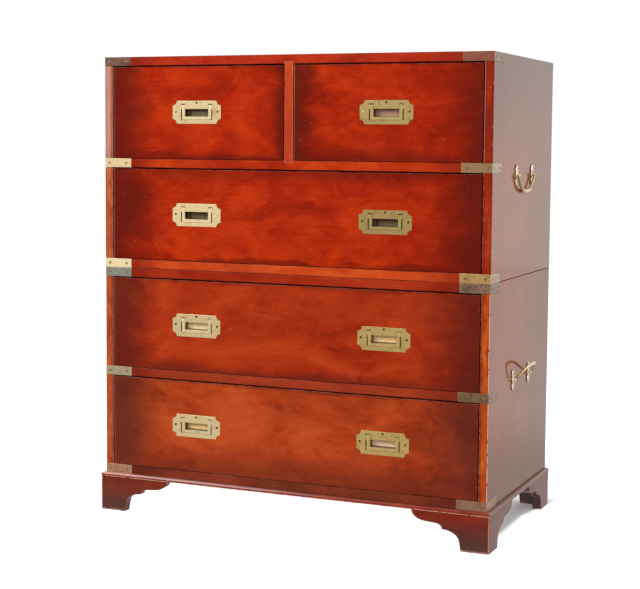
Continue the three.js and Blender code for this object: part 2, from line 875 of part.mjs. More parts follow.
const upper = new THREE.Group();
upper.position.z = upperBase;
const dividerFoot = boardLevels[1] + boardThickness - dividerTongue - joinGap;
const dividerHead = boardLevels[2] + dividerTongue + joinGap;
const pegHoles = pegs(pegRadius + pegGap, pegRadius + pegGap, [-cutOverrun, pegHeight + pegGap]);
addSides(upper, 'upper', halfHeight / 2 - upperHandleDrop, 0);
const footHousing = dividerHousing([dividerFoot, boardLevels[2]]);
const headHousing = dividerHousing([boardLevels[1] + boardThickness, dividerHead]);
upper.add(piece('upper_bottom', endBoard(endLevels[0], [], pegHoles), mahogany));
upper.add(piece('upper_rail', railBoard([footHousing]), mahogany));
upper.add(piece('upper_top', endBoard(endLevels[1], [], [headHousing]), mahogany));
upper.add(piece('upper_divider', divider(), mahogany));
upper.add(piece('upper_back', backPanel(), darkMahogany));
addStraps(upper, 'upper');

// The right-hand handles of the second and third drawers were let in a little lower than the rest
const handleMiddle = openingHeight / 2;
const levelHandles = [['_left', -handleColumn, handleMiddle], ['_right', handleColumn, handleMiddle]];
const saggedHandles = [levelHandles[0], ['_right', handleColumn, handleMiddle - rightHandleSag]];
const shortHandle = [['', 0, handleMiddle]];
const rowLevel = (row) => boardThickness + row * rowPitch;
const shortWidth = innerHalf - dividerThickness / 2;
addDrawer(lower, 'bottom_drawer', 0, 2 * innerHalf, rowLevel(0), levelHandles);
addDrawer(lower, 'third_drawer', 0, 2 * innerHalf, rowLevel(1), saggedHandles);
addDrawer(upper, 'second_drawer', 0, 2 * innerHalf, rowLevel(0), saggedHandles);
addDrawer(upper, 'top_left_drawer', -handleColumn, shortWidth, rowLevel(1), shortHandle);
addDrawer(upper, 'top_right_drawer', handleColumn, shortWidth, rowLevel(1), shortHandle);

const base = new THREE.Group();
base.add(piece('plinth', plinth(), darkMahogany));
for (const [hand, sign] of hands) {
  base.add(piece(`front_${hand}_foot`, mirror(foot(ogeeBracket()), -sign, 1), darkMahogany));
  base.add(piece(`back_${hand}_foot`, mirror(foot(plainBracket()), -sign, -1), darkMahogany));
}

chest.add(base, lower, upper);

export default chest;
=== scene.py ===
import json
import math

import bmesh
import bpy
from mathutils import Matrix, Vector

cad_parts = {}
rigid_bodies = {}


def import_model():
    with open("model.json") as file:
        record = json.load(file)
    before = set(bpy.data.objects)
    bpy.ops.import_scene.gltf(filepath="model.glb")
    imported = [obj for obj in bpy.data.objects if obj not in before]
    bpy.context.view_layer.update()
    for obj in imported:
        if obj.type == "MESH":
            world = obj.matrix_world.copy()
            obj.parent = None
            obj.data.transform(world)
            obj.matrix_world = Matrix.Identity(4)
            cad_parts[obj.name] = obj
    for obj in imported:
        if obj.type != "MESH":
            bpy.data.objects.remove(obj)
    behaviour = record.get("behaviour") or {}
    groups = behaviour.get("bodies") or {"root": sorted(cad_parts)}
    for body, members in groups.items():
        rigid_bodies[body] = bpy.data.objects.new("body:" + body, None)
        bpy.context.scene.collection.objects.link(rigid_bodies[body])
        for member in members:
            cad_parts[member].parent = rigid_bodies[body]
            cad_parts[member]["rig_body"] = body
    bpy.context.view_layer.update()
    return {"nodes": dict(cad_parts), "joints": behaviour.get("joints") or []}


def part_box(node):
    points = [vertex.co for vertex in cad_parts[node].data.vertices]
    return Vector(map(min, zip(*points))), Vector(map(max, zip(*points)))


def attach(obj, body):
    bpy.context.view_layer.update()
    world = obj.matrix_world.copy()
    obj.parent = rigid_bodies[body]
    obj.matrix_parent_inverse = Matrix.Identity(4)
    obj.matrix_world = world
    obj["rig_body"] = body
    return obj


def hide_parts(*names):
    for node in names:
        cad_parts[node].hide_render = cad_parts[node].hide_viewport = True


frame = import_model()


# Plinth: a mahogany frame with a rounded moulding along its front and ends, mitred at the front corners
# and screwed up into the lower case. The moulding has a painted highlight along its crown at the left and a
# lip rubbed bare.

class Tone:
    """A socket of a finish or a jig. Sums on it add Math nodes."""

    def __init__(self, owner, socket):
        self.owner = owner
        self.socket = socket

    def sum(self, operation, first, second=0.0):
        return self.owner.node("ShaderNodeMath", {"operation": operation}, [first, second])

    def __add__(self, other):
        return self.sum("ADD", self, other)

    __radd__ = __add__

    def __sub__(self, other):
        return self.sum("SUBTRACT", self, other)

    def __rsub__(self, other):
        return self.sum("SUBTRACT", other, self)

    def __mul__(self, other):
        return self.sum("MULTIPLY", self, other)

    __rmul__ = __mul__

    def __truediv__(self, other):
        return self.sum("DIVIDE", self, other)

    def __abs__(self):
        return self.sum("ABSOLUTE", self)

    def cosine(self):
        return self.sum("COSINE", self)

    def least(self, other):
        return self.sum("MINIMUM", self, other)

    def most(self, other):
        return self.sum("MAXIMUM", self, other)

    def ease(self, low, high):
        """0 below low, 1 above high, and smooth between them."""
        settings = {"interpolation_type": "SMOOTHSTEP"}
        return self.owner.node("ShaderNodeMapRange", settings, [self, low, high, 0.0, 1.0])

    def fade(self, low, high):
        return 1.0 - self.ease(low, high)

    def blend(self, under, over):
        """The colour under where this is 0, and the colour over where it is 1."""
        values = {0: self, 6: under, 7: over}
        return self.owner.node("ShaderNodeMix", {"data_type": "RGBA"}, values, output=2)


class Drawing:
    """A node tree, drawn up node by node."""

    def node(self, kind, settings=None, inputs=None, output=0):
        made = self.tree.nodes.new(kind)
        for name, value in (settings or {}).items():
            setattr(made, name, value)
        pairs = inputs.items() if isinstance(inputs, dict) else enumerate(inputs or [])
        for key, value in pairs:
            self.feed(made.inputs[key], value)
        return Tone(self, made.outputs[output])

    def feed(self, socket, value):
        if isinstance(value, Tone):
            self.tree.links.new(value.socket, socket)
        elif socket.type == "RGBA" and len(value) == 3:
            socket.default_value = (*value, 1.0)
        else:
            socket.default_value = value

    def set(self, **values):
        for name, value in values.items():
            self.feed(self.shader.inputs[name.replace("_", " ")], value)

    def split(self, vector):
        made = self.node("ShaderNodeSeparateXYZ", None, [vector]).socket.node
        return [Tone(self, socket) for socket in made.outputs]

    def point(self, x, y, z=0.0):
        return self.node("ShaderNodeCombineXYZ", None, [x, y, z])


class Finish(Drawing):
    """A material, built up from nodes on its Principled shader."""

    def __init__(self, name, slot, **settings):
        self.material = bpy.data.materials.new(name)
        self.material.use_nodes = True
        self.slot = slot
        self.tree = self.material.node_tree
        self.shader = self.tree.nodes["Principled BSDF"]
        self.place = self.node("ShaderNodeTexCoord", output="Object")
        self.x, self.y, self.z = self.split(self.place)
        self.set(**settings)

    def noise(self, where, scale=1.0, detail=3.0, rough=0.5, warp=0.0):
        """A noise at a place, which may be given as its three tones."""
        if isinstance(where, tuple):
            where = self.point(*where)
        values = {"Vector": where, "Scale": scale, "Detail": detail, "Roughness": rough, "Distortion": warp}
        return self.node("ShaderNodeTexNoise", None, values)

    def cells(self, u, v, scale):
        """On a face, the distance to the nearest scattered point and a number that is the point's own."""
        settings, values = {"voronoi_dimensions": "2D"}, {"Vector": self.point(u, v), "Scale": scale}
        distance = self.node("ShaderNodeTexVoronoi", settings, values, output="Distance")
        lot, _, _ = self.split(Tone(self, distance.socket.node.outputs["Color"]))
        return distance, lot

    def bump(self, height, depth):
        values = {"Strength": 1.0, "Distance": depth, "Height": height}
        self.set(Normal=self.node("ShaderNodeBump", None, values))

    def edge(self, lo, hi):
        """On a board between two corners, the distance to the nearest arris of the face."""
        a, b, c = [(at - low).least(high - at) for at, low, high in zip((self.x, self.y, self.z), lo, hi)]
        return a.least(b).most(a.most(b).least(c))

    def arris(self):
        return self.node("ShaderNodeAttribute", {"attribute_name": "arris"}, output="Fac")

    def wash(self, share, tone):
        """Lays a tone over the colour so far."""
        self.colour = share.blend(self.colour, tone)
        self.set(Base_Color=self.colour)


def mahogany(name, grain, tones, seed, slot="mahogany", rough=0.32, figure=1.0, depth=0.00012, lift=None):
    """French-polished mahogany. Grain runs along the axis named, and tones go from dark to bright."""
    finish = Finish(name, slot, Roughness=rough, Specular_IOR_Level=0.0)
    finish.polish = 1.0 - finish.arris() * 0.9
    finish.set(Coat_Weight=finish.polish, Coat_Roughness=0.06, Coat_IOR=1.5)
    x, y, z = finish.x, finish.y, finish.z
    run, across, deep = {"X": (x, z, y), "Z": (z, x, y), "Y": (y, x, z)}[grain]
    cloud_at = (run * 7.0 + seed, across * 11.0, deep * 8.0 + seed)
    cloud = finish.noise(cloud_at, detail=5.0, rough=0.6, warp=1.0)
    flame_at = (run * 24.0, across * 46.0 + seed, deep * 40.0)
    flame = finish.noise(flame_at, detail=4.0, rough=0.62, warp=1.0)
    streak = finish.noise((run * 15.0 + seed, across * 300.0, deep * 240.0), detail=2.0)
    pore = finish.noise((run * 110.0, across * 1500.0, deep * 1500.0 + seed), detail=1.0)
    # The last term brings the mean of the noises to the middle tone.
    tone = cloud * 1.25 + flame * (0.60 * figure) + streak * (0.22 * figure) - (0.125 + 0.41 * figure)
    if lift is not None:
        tone = tone + lift(finish)
    finish.colour = finish.node("ShaderNodeValToRGB", None, [tone])
    ramp = finish.colour.socket.node.color_ramp
    ramp.elements.new(0.5)
    for stop, position, colour in zip(ramp.elements, (0.2, 0.5, 0.82), tones):
        stop.position = position
        stop.color = (*colour, 1.0)
    finish.wash(pore.ease(0.62, 0.8) * 0.22, tuple(c * 0.4 for c in tones[0]))
    finish.bump(streak, depth)
    return finish


def mark(finish, u, v, nick, dent, amount=1.0, scale=42.0, rarity=0.93):
    """A few small pale nicks and dark dents in the polish of a face."""
    distance, lot = finish.cells(u, v, scale)
    nicks = distance.fade(0.012, 0.038) * lot.ease(rarity, rarity + 0.03)
    spot, drawn = finish.cells(u + 0.7, v * 1.3, 0.4 * scale)
    dents = spot.fade(0.01, 0.045) * drawn.ease(0.86, 0.90)
    finish.wash(dents * amount * 0.7, dent)
    finish.wash(nicks * amount * 0.8, nick)


def finished(obj, finish, body, *nodes):
    """Gives a piece its finish and its body, and lets it stand for its CAD nodes."""
    if finish is not None:
        obj.data.materials.clear()
        obj.data.materials.append(finish.material)
    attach(obj, body)
    if nodes:
        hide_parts(*nodes)
    return obj


def also(obj, finish, chosen):
    """Gives the chosen faces of a piece a second finish."""
    obj.data.materials.append(finish.material)
    for face in obj.data.polygons:
        if chosen(face):
            face.material_index = len(obj.data.materials) - 1


def piece(name, bm):
    mesh = bpy.data.meshes.new(name)
    bm.to_mesh(mesh)
    bm.free()
    obj = bpy.data.objects.new(name, mesh)
    bpy.context.scene.collection.objects.link(obj)
    return obj


def soften(bm, width, shortest=0.03, wanted=bool):
    """Rubs the long arrises of a solid round and marks them for wear."""
    flat, arris, smoothest = (math.radians(angle) for angle in (0.5, 60, 35))
    bmesh.ops.dissolve_limit(bm, angle_limit=flat, verts=bm.verts, edges=bm.edges, delimit={"MATERIAL"})
    bm.normal_update()
    chosen = [
        edge for edge in bm.edges
        if len(edge.link_faces) == 2 and edge.is_convex and edge.calc_length() > shortest
        and edge.calc_face_angle() > arris and wanted(edge)
    ]
    made = bmesh.ops.bevel(
        bm, geom=chosen, offset=width, offset_type="OFFSET", segments=3, profile=0.5,
        affect="EDGES", clamp_overlap=True,
    )
    layer = bm.loops.layers.float.new("arris")
    rubbed = set(made["faces"])
    for face in rubbed:
        for loop in face.loops:
            loop[layer] = 1.0
    for face in bm.faces:
        face.smooth = True
    bm.normal_update()
    for edge in bm.edges:
        faces = edge.link_faces
        if len(faces) != 2 or edge.calc_face_angle() > smoothest:
            edge.smooth = False
        elif (faces[0] in rubbed) != (faces[1] in rubbed):
            edge.smooth = False
    return bm


def solid_of(node):
    bm = bmesh.new()
    bm.from_mesh(frame["nodes"][node].data)
    bmesh.ops.remove_doubles(bm, verts=bm.verts, dist=0.000002)
    return bm


def polished(node, finish, width=0.0008, **rules):
    """The node's own solid with its arrises rubbed round, in its finish."""
    obj = piece("polished_" + node, soften(solid_of(node), width, **rules))
    return finished(obj, finish, frame["nodes"][node]["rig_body"], node)


def is_end(face):
    """Whether a face looks sideways, out of an end of the chest."""
    return abs(face.normal.x) > max(abs(face.normal.y), 0.05)


plinth_tones = ((0.12, 0.012, 0.006), (0.22, 0.026, 0.010), (0.34, 0.056, 0.022))
end_tones = ((0.14, 0.056, 0.040), (0.18, 0.075, 0.053), (0.23, 0.096, 0.068))
pale_wood = (0.66, 0.36, 0.24)
bare_wood = (0.72, 0.44, 0.30)
black_dent = (0.045, 0.008, 0.005)

wood = mahogany("plinth mahogany", "X", plinth_tones, 3.1, "dark_mahogany")
flecks = wood.noise((wood.x * 130.0, wood.y * 130.0, 0.0), detail=3.0)
lip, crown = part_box("plinth")[0].z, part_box("plinth")[1].z
# A pale pinkish highlight is painted along the top of the crown, strongest at the left.
crown_highlight = (crown - wood.z).fade(0.0012, 0.0026)
crown_highlight = crown_highlight * (wood.x.fade(-0.30, 0.10) * 0.9 + 0.1)
wood.wash(crown_highlight * 0.85, (0.56, 0.31, 0.28))
worn = (wood.z - lip + (flecks - 0.5) * 0.002).fade(0.0008, 0.0014) * flecks.ease(0.36, 0.50)
wood.wash(worn, bare_wood)
mark(wood, wood.x, wood.z, pale_wood, black_dent, scale=70.0)
matt = (crown - wood.z).fade(0.002, 0.004) * wood.x.ease(-0.08, 0.10) * 0.7
wood.set(Coat_Weight=wood.polish * (1.0 - matt))
end_wood = mahogany("plinth end mahogany", "Y", end_tones, 4.4, "dark_mahogany", rough=0.34, figure=0.5)
# The ends are painted grey-brown along the top: painted shade under the case above, and dust.
seam_shade_and_dust = (crown - end_wood.z).fade(0.0003, 0.0009)
end_wood.wash(seam_shade_and_dust * 0.7, (0.21, 0.125, 0.105))
end_wood.set(Coat_Weight=1.0 - seam_shade_and_dust * 0.2)
mark(end_wood, end_wood.y, end_wood.z, pale_wood, black_dent, amount=0.7, scale=60.0)
also(polished("plinth", wood, width=0.0006), end_wood, is_end)


# Bracket feet: two ogee-cut boards mitred at the corner, with a glue block inside.
# Their arrises are worn pale by brooms and shoes, and they are darker towards the floor and on the left.

foot_tones = ((0.13, 0.011, 0.004), (0.22, 0.021, 0.006), (0.31, 0.038, 0.010))
wood = mahogany("foot mahogany", "X", foot_tones, 8.4, "dark_mahogany", rough=0.36)
scuff = wood.noise(wood.place, 85.0, detail=4.0)
# Darker towards the floor and on the left-hand feet.
low = (wood.z + (scuff - 0.5) * 0.03).fade(0.014, 0.066)
darker_low_and_left = (wood.x.fade(-0.36, -0.20) * 0.55).most(low) * 0.88
wood.wash(darker_low_and_left, (0.062, 0.020, 0.014))
dust = (wood.z + (scuff - 0.5) * 0.010).fade(0.0012, 0.0050) * scuff.ease(0.40, 0.52)
wood.wash(dust * 0.85, (0.46, 0.28, 0.20))
rubbed = wood.arris() * scuff.ease(0.30, 0.44) * 0.9
wood.wash(rubbed, (0.58, 0.28, 0.16))
mark(wood, wood.x, wood.z, (0.42, 0.20, 0.12), black_dent, scale=95.0, rarity=0.78)
end_wood = mahogany("foot end mahogany", "Y", end_tones, 9.9, "dark_mahogany", rough=0.34, figure=0.5)
mark(end_wood, end_wood.y, end_wood.z, pale_wood, black_dent, amount=0.7, scale=60.0)
sawn_tones = ((0.09, 0.016, 0.008), (0.16, 0.028, 0.012), (0.25, 0.050, 0.020))
sawn_wood = mahogany("sawn foot edge", "X", sawn_tones, 12.2, "dark_mahogany", rough=0.6)


def is_sawn(face):
    """Whether a face of a foot is part of its cut-out edge, or is hidden behind it."""
    return face.normal.y > -0.3


def is_outer_end(face):
    """Whether a face of a foot looks out of an end of the chest."""
    return abs(face.normal.x) > 0.8 and abs(face.center.x) > 0.42


def is_upright(edge):
    start, stop = (vert.co for vert in edge.verts)
    return abs(start.z - stop.z) > 0.95 * (start - stop).length


for end in ("front", "back"):
    for hand in ("left", "right"):
        foot = polished(f"{end}_{hand}_foot", wood, width=0.0018, shortest=0.02, wanted=is_upright)
        also(foot, sawn_wood, is_sawn)
        also(foot, end_wood, is_outer_end)


# Case boards: full-depth boards housed in the sides, whose front edges show as rails.
# Each is a different red, darker and redder towards the brass at its ends.

board_tones = {
    "upper_top": ((0.24, 0.012, 0.005), (0.42, 0.028, 0.007), (0.58, 0.052, 0.012)),
    "upper_rail": ((0.28, 0.014, 0.003), (0.46, 0.031, 0.004), (0.64, 0.066, 0.008)),
    "upper_bottom": ((0.36, 0.030, 0.008), (0.58, 0.066, 0.013), (0.74, 0.110, 0.021)),
    "lower_top": ((0.25, 0.014, 0.005), (0.35, 0.026, 0.007), (0.45, 0.042, 0.011)),
    "lower_rail": ((0.22, 0.028, 0.010), (0.32, 0.039, 0.014), (0.42, 0.052, 0.019)),
    "lower_bottom": ((0.13, 0.026, 0.010), (0.205, 0.034, 0.014), (0.27, 0.044, 0.020)),
}
top_tones = ((0.16, 0.018, 0.008), (0.25, 0.034, 0.013), (0.35, 0.056, 0.020))
dull_top = mahogany("dulled top mahogany", "X", top_tones, 20.3, rough=0.5, figure=1.3)
mark(dull_top, dull_top.x, dull_top.y, pale_wood, black_dent, amount=0.9, scale=24.0)
dull_top.set(Coat_Roughness=0.5)
for number, (board, tones) in enumerate(board_tones.items()):
    wood = mahogany(f"{board} mahogany", "X", tones, 1.7 * number + 0.4, figure=0.8)
    lo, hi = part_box(board)
    near_end = abs(wood.x).ease(0.25, 0.335)
    wood.wash(near_end * 0.5, (tones[0][0] * 0.55, 0.008, 0.006))
    breaks = wood.noise((wood.x * 22.0, wood.y * 22.0, wood.z * 90.0), detail=4.0)
    rim = (wood.edge(lo, hi) + (breaks - 0.5) * 0.003).fade(0.0003, 0.0016)
    wood.wash(rim * 0.65, (0.08, 0.012, 0.006))
    lit = (wood.edge(lo, hi) + (breaks - 0.5) * 0.002).fade(0.0, 0.0012) * breaks.ease(0.56, 0.64)
    wood.wash(lit * 0.45, (0.60, 0.20, 0.11))
    mark(wood, wood.x, wood.z, pale_wood, black_dent, amount=0.9, scale=60.0)
    rubbed_board = polished(board, wood)
    if board.endswith("_top"):
        also(rubbed_board, dull_top, lambda face: face.normal.z > 0.7)


# Divider: a mahogany board on edge between the two short drawers, tongued into the boards.
# Its front edge is a rubbed orange, speckled with dark dents.

divider_tones = ((0.42, 0.036, 0.009), (0.54, 0.060, 0.014), (0.66, 0.10, 0.024))
wood = mahogany("divider mahogany", "Z", divider_tones, 5.2, figure=0.8)
lo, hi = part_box("upper_divider")
rub = wood.noise(wood.place, 260.0, detail=3.0)
wood.wash(rub.ease(0.54, 0.68) * 0.5, (0.30, 0.024, 0.010))
lit = (wood.edge(lo, hi) + (rub - 0.5) * 0.003).fade(0.0003, 0.0012)
wood.wash(lit * 0.45, (0.60, 0.27, 0.18))
mark(wood, wood.x, wood.z, pale_wood, black_dent, amount=0.8, scale=90.0)
under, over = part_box("upper_rail")[1].z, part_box("upper_top")[0].z
tongued = solid_of("upper_divider")
for level in (under, over):
    whole = tongued.verts[:] + tongued.edges[:] + tongued.faces[:]
    bmesh.ops.bisect_plane(tongued, geom=whole, plane_co=(0, 0, level), plane_no=(0, 0, 1))
for face in tongued.faces:
    middle = face.calc_center_median().z
    face.material_index = 1 if middle < under else 2 if middle > over else 0
divider = piece("polished_upper_divider", soften(tongued, width=0.0008))
finished(divider, wood, "upper_case", "upper_divider")
for board in ("upper_rail", "upper_top"):
    divider.data.materials.append(bpy.data.materials[f"{board} mahogany"])


# Case sides: wide boards with the grain upright, polished on the outside.
# Their front edges show as stiles, orange and rubbed, with pale nicks along the outer arris.

hands = (("left", -1), ("right", 1))
face_x, inner_x = 0.400, 0.383
rail_z, split_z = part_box("upper_rail")[0].z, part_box("upper_bottom")[0].z


def side_board(node, finish, stile):
    """The side without the cast brass backplates, whose outlines are closed in the wood."""
    bm = solid_of(node)
    brass_faces = [face for face in bm.faces if any(abs(v.co.x) > face_x + 0.0001 for v in face.verts)]
    bmesh.ops.delete(bm, geom=brass_faces, context="FACES")
    open_edges = [edge for edge in bm.edges if len(edge.link_faces) == 1]
    bmesh.ops.holes_fill(bm, edges=open_edges, sides=0)
    obj = piece("polished_" + node, soften(bm, width=0.0008, shortest=0.06))
    finished(obj, finish, frame["nodes"][node]["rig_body"], node)
    also(obj, stile, lambda face: face.normal.y < -0.7)


panel_tones = {
    "lower": ((0.25, 0.063, 0.024), (0.305, 0.081, 0.030), (0.35, 0.100, 0.037)),
    "upper": ((0.27, 0.072, 0.030), (0.33, 0.092, 0.038), (0.38, 0.112, 0.046)),
}
stile_tones = {
    ("upper", "left"): ((0.36, 0.060, 0.020), (0.50, 0.106, 0.036), (0.60, 0.16, 0.058)),
    ("upper", "right"): ((0.22, 0.012, 0.003), (0.35, 0.024, 0.005), (0.54, 0.056, 0.012)),
    ("lower", "left"): ((0.34, 0.048, 0.015), (0.47, 0.088, 0.026), (0.60, 0.15, 0.050)),
    ("lower", "right"): ((0.38, 0.040, 0.007), (0.58, 0.088, 0.014), (0.76, 0.17, 0.030)),
}
for number, half in enumerate(("lower", "upper")):
    for hand, sign in hands:
        name, seed = f"{half} {hand} side mahogany", 2.3 * number + sign
        panel = mahogany(name, "Z", panel_tones[half], seed, rough=0.34, figure=0.2)
        bands = panel.noise((panel.y * 24.0, panel.z * 0.7, 2.0 + number), detail=2.0)
        panel.wash(bands.ease(0.35, 0.65) * 0.3, (0.20, 0.065, 0.028))
        # Darker and browner towards the top, the bottom and the back.
        darker_top_bottom_back = panel.z.ease(0.66, 0.90).most(panel.z.fade(0.08, 0.26) * 0.8)
        darker_top_bottom_back = darker_top_bottom_back.most(panel.y.ease(-0.06, 0.14) * 0.6)
        panel.wash(darker_top_bottom_back * 0.75, (0.11, 0.052, 0.030))
        joint = abs(panel.z - split_z).fade(0.0006, 0.0014)
        panel.wash(joint * 0.6, (0.045, 0.018, 0.012))
        mark(panel, panel.y, panel.z, (0.45, 0.26, 0.20), black_dent, amount=0.45, scale=30.0)
        name, seed = f"{half} {hand} stile mahogany", 4.1 * number + sign
        stile = mahogany(name, "Z", stile_tones[half, hand], seed, figure=1.2)
        width = abs(stile.x)
        grit = stile.noise(stile.place, 420.0, detail=2.0)
        smoke = stile.noise((stile.x * 120.0, 0.0, stile.z * 26.0 + sign), detail=5.0, warp=0.8)
        # How dark the streaks and the painted shade at the inner edge are; the right stiles are darker.
        streak_and_shade = 0.65 if hand == "right" else 0.45
        stile.wash(smoke.ease(0.48, 0.64) * streak_and_shade, (0.19, 0.022, 0.008))
        if (half, hand) == ("upper", "left"):
            high = stile.z.ease(rail_z - 0.02, rail_z + 0.03)
            chalk = high * (grit.ease(0.38, 0.62) * 0.5 + 0.35)
            stile.wash(chalk * width.ease(inner_x + 0.001, inner_x + 0.008), (0.49, 0.31, 0.29))
        elif (half, hand) == ("lower", "right"):
            stile.wash(stile.z.fade(0.22, 0.42) * 0.3, (0.26, 0.040, 0.010))
        breaks = stile.noise((stile.x * 90.0, 0.0, stile.z * 90.0), detail=4.0)
        inset = width - inner_x + (breaks - 0.5) * 0.004
        # A painted shade along the inner edge, by the gap to the drawers.
        stile.wash(inset.fade(0.0020, 0.0060) * streak_and_shade, (0.17, 0.018, 0.007))
        pale = stile.z.ease(rail_z - 0.01, rail_z) * 0.35 + breaks.ease(0.46, 0.56) * 0.4
        stile.wash(inset.fade(0.0010, 0.0022) * pale, (0.52, 0.28, 0.23))
        outer = face_x - width + (breaks - 0.5) * 0.0016
        stile.wash(outer.fade(0.0022, 0.0044) * 0.3, (0.16, 0.010, 0.005))
        if half == "lower":
            share, tone = breaks.ease(0.36, 0.48), (0.80, 0.50, 0.34)
        else:
            share, tone = breaks.ease(0.56, 0.62) * 0.6, (0.50, 0.22, 0.15)
        stile.wash(outer.fade(0.0012, 0.0018) * share, tone)
        nicked = {"amount": 0.9, "scale": 48.0, "rarity": 0.70}
        mark(stile, stile.x, stile.z, bare_wood, (0.09, 0.012, 0.006), **nicked)
        side_board(f"{half}_{hand}_side", panel, stile)


# Back panels: plain stained boards let into rebates, never polished.
# They are nailed to the case boards from behind.

back_tones = ((0.060, 0.018, 0.010), (0.10, 0.032, 0.017), (0.155, 0.056, 0.029))
plain = {"rough": 0.7, "figure": 1.7, "depth": 0.0003}
back_wood = mahogany("back panel wood", "X", back_tones, 2.2, "dark_mahogany", **plain)
back_wood.set(Specular_IOR_Level=0.25)
for half in ("lower", "upper"):
    polished(f"{half}_back", back_wood, width=0.0004)


# Drawer fronts: single boards of figured mahogany, brightest in the middle.
# The polish has gone dark towards the ends, and the left arris shows as a thin grey line.

red_tones = ((0.20, 0.0095, 0.0016), (0.36, 0.0170, 0.0022), (0.53, 0.0370, 0.0038))
warm_tones = ((0.21, 0.014, 0.0040), (0.37, 0.029, 0.0065), (0.49, 0.050, 0.010))
orange_tones = ((0.22, 0.022, 0.0070), (0.40, 0.048, 0.0110), (0.54, 0.078, 0.017))
purple_stain = (0.105, 0.008, 0.004)
dusky_stain = (0.108, 0.015, 0.009)
brown_stain = (0.105, 0.021, 0.013)
drawers = {
    # name: (tones, stain, how far the dark reaches in from left, right, bottom and top,
    #        place of the bright patch as shares of the front, how bright it is, seed)
    "top_left_drawer": (red_tones, purple_stain, (0.08, 0.03, 0.016, 0.006), (0.48, 0.95), 0.18, 0.0),
    "top_right_drawer": (red_tones, purple_stain, (0.05, 0.085, 0.030, 0.006), (0.40, 0.90), 0.07, 4.6),
    "second_drawer": (red_tones, purple_stain, (0.09, 0.13, 0.008, 0.030), (0.40, 0.30), 0.19, 7.9),
    "third_drawer": (warm_tones, dusky_stain, (0.09, 0.17, 0.022, 0.008), (0.38, 0.70), 0.16, 11.3),
    "bottom_drawer": (orange_tones, brown_stain, (0.11, 0.15, 0.070, 0.006), (0.42, 0.62), 0.16, 15.8),
}
for name, (tones, stain, reach, glow_shares, glow, seed) in drawers.items():
    lo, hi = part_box(f"{name}_front")
    size = hi - lo
    middle_x, middle_z = lo.x + size.x * glow_shares[0], lo.z + size.z * glow_shares[1]

    def bright_patch(finish):
        along = (finish.x - middle_x) * (1.9 / size.x)
        up = (finish.z - middle_z) * (1.0 / size.z)
        return (1.0 - (along * along + up * up)).most(-0.4) * glow - 0.03

    wood = mahogany(f"{name} mahogany", "X", tones, seed, lift=bright_patch)
    wander = wood.noise((wood.x * 9.0 + seed, wood.z * 18.0, seed), detail=3.0, warp=0.5) - 0.5
    left, right, bottom, top = reach
    dark = (wood.x - lo.x + wander * 0.10).fade(left * 0.25, left * 1.25)
    dark = dark.most((hi.x - wood.x + wander * (right * 0.8)).fade(0.0, right))
    dark = dark.most((wood.z - lo.z + wander * 0.05).fade(0.0, bottom) * 0.75)
    dark = dark.most((hi.z - wood.z + wander * 0.02).fade(0.0, top) * 0.6)
    wood.wash(dark * 0.84, stain)
    breaks = wood.noise((wood.x * 60.0, wood.y, wood.z * 60.0), detail=4.0)
    worn = (wood.x - lo.x + (breaks - 0.5) * 0.0012).fade(0.0005, 0.0014)
    wood.wash(worn * 0.8, (0.36, 0.20, 0.18))
    crest = (hi.z - wood.z + (breaks - 0.5) * 0.003).fade(0.0002, 0.0010) * breaks.ease(0.44, 0.56)
    wood.wash(crest * 0.5, (0.48, 0.22, 0.18))
    mark(wood, wood.x, wood.z, (0.62, 0.34, 0.24), (0.13, 0.010, 0.005), rarity=0.90)
    polished(f"{name}_front", wood, width=0.0006, shortest=0.08)


# Drawer boxes: cedar sides dovetailed to the front, with the back and bottom between them.
# They are left unpolished inside and out.

lining_tones = ((0.25, 0.115, 0.052), (0.34, 0.17, 0.08), (0.43, 0.235, 0.118))
plain = {"rough": 0.62, "figure": 1.7, "depth": 0.0002}
lining = mahogany("cedar lining", "Y", lining_tones, 6.6, "drawer_wood", **plain)
lining.set(Specular_IOR_Level=0.3)
for name in drawers:
    polished(f"{name}_box", lining, width=0.0006, shortest=0.08)


# Corner straps: sheet brass bent round each case corner, let in flush and screwed.
# Some have been cleaned bright and others are grey, green or brown with tarnish.

def brass(name, light, dull, amount=0.5, rough=0.38, metal=0.6, seed=0.0):
    """Old brass: a light metal under a dull tarnish, with fine wiping marks."""
    finish = Finish(name, "brass", Metallic=metal, Specular_IOR_Level=0.5)
    x, y, z = finish.x * 60.0, finish.y * 60.0, finish.z * 60.0
    patch = finish.noise((x + seed, y, z + seed), detail=5.0, rough=0.62, warp=0.6)
    grime = patch.ease(0.64 - 0.40 * amount, 0.86 - 0.40 * amount)
    wipe = finish.noise((x, y, finish.z * 1400.0), detail=2.0)
    finish.colour = grime.blend(light, dull)
    finish.wash(wipe.ease(0.62, 0.75) * 0.2, tuple(c * 0.6 for c in dull))
    # The arrises are painted paler: partly rubbed bright, partly a painted highlight.
    finish.wash(finish.arris() * 0.4, tuple(min(1.0, c * 1.2) for c in light))
    finish.set(Roughness=wipe * 0.1 + grime * 0.12 + (rough - 0.05))
    finish.bump(wipe, 0.00004)
    return finish


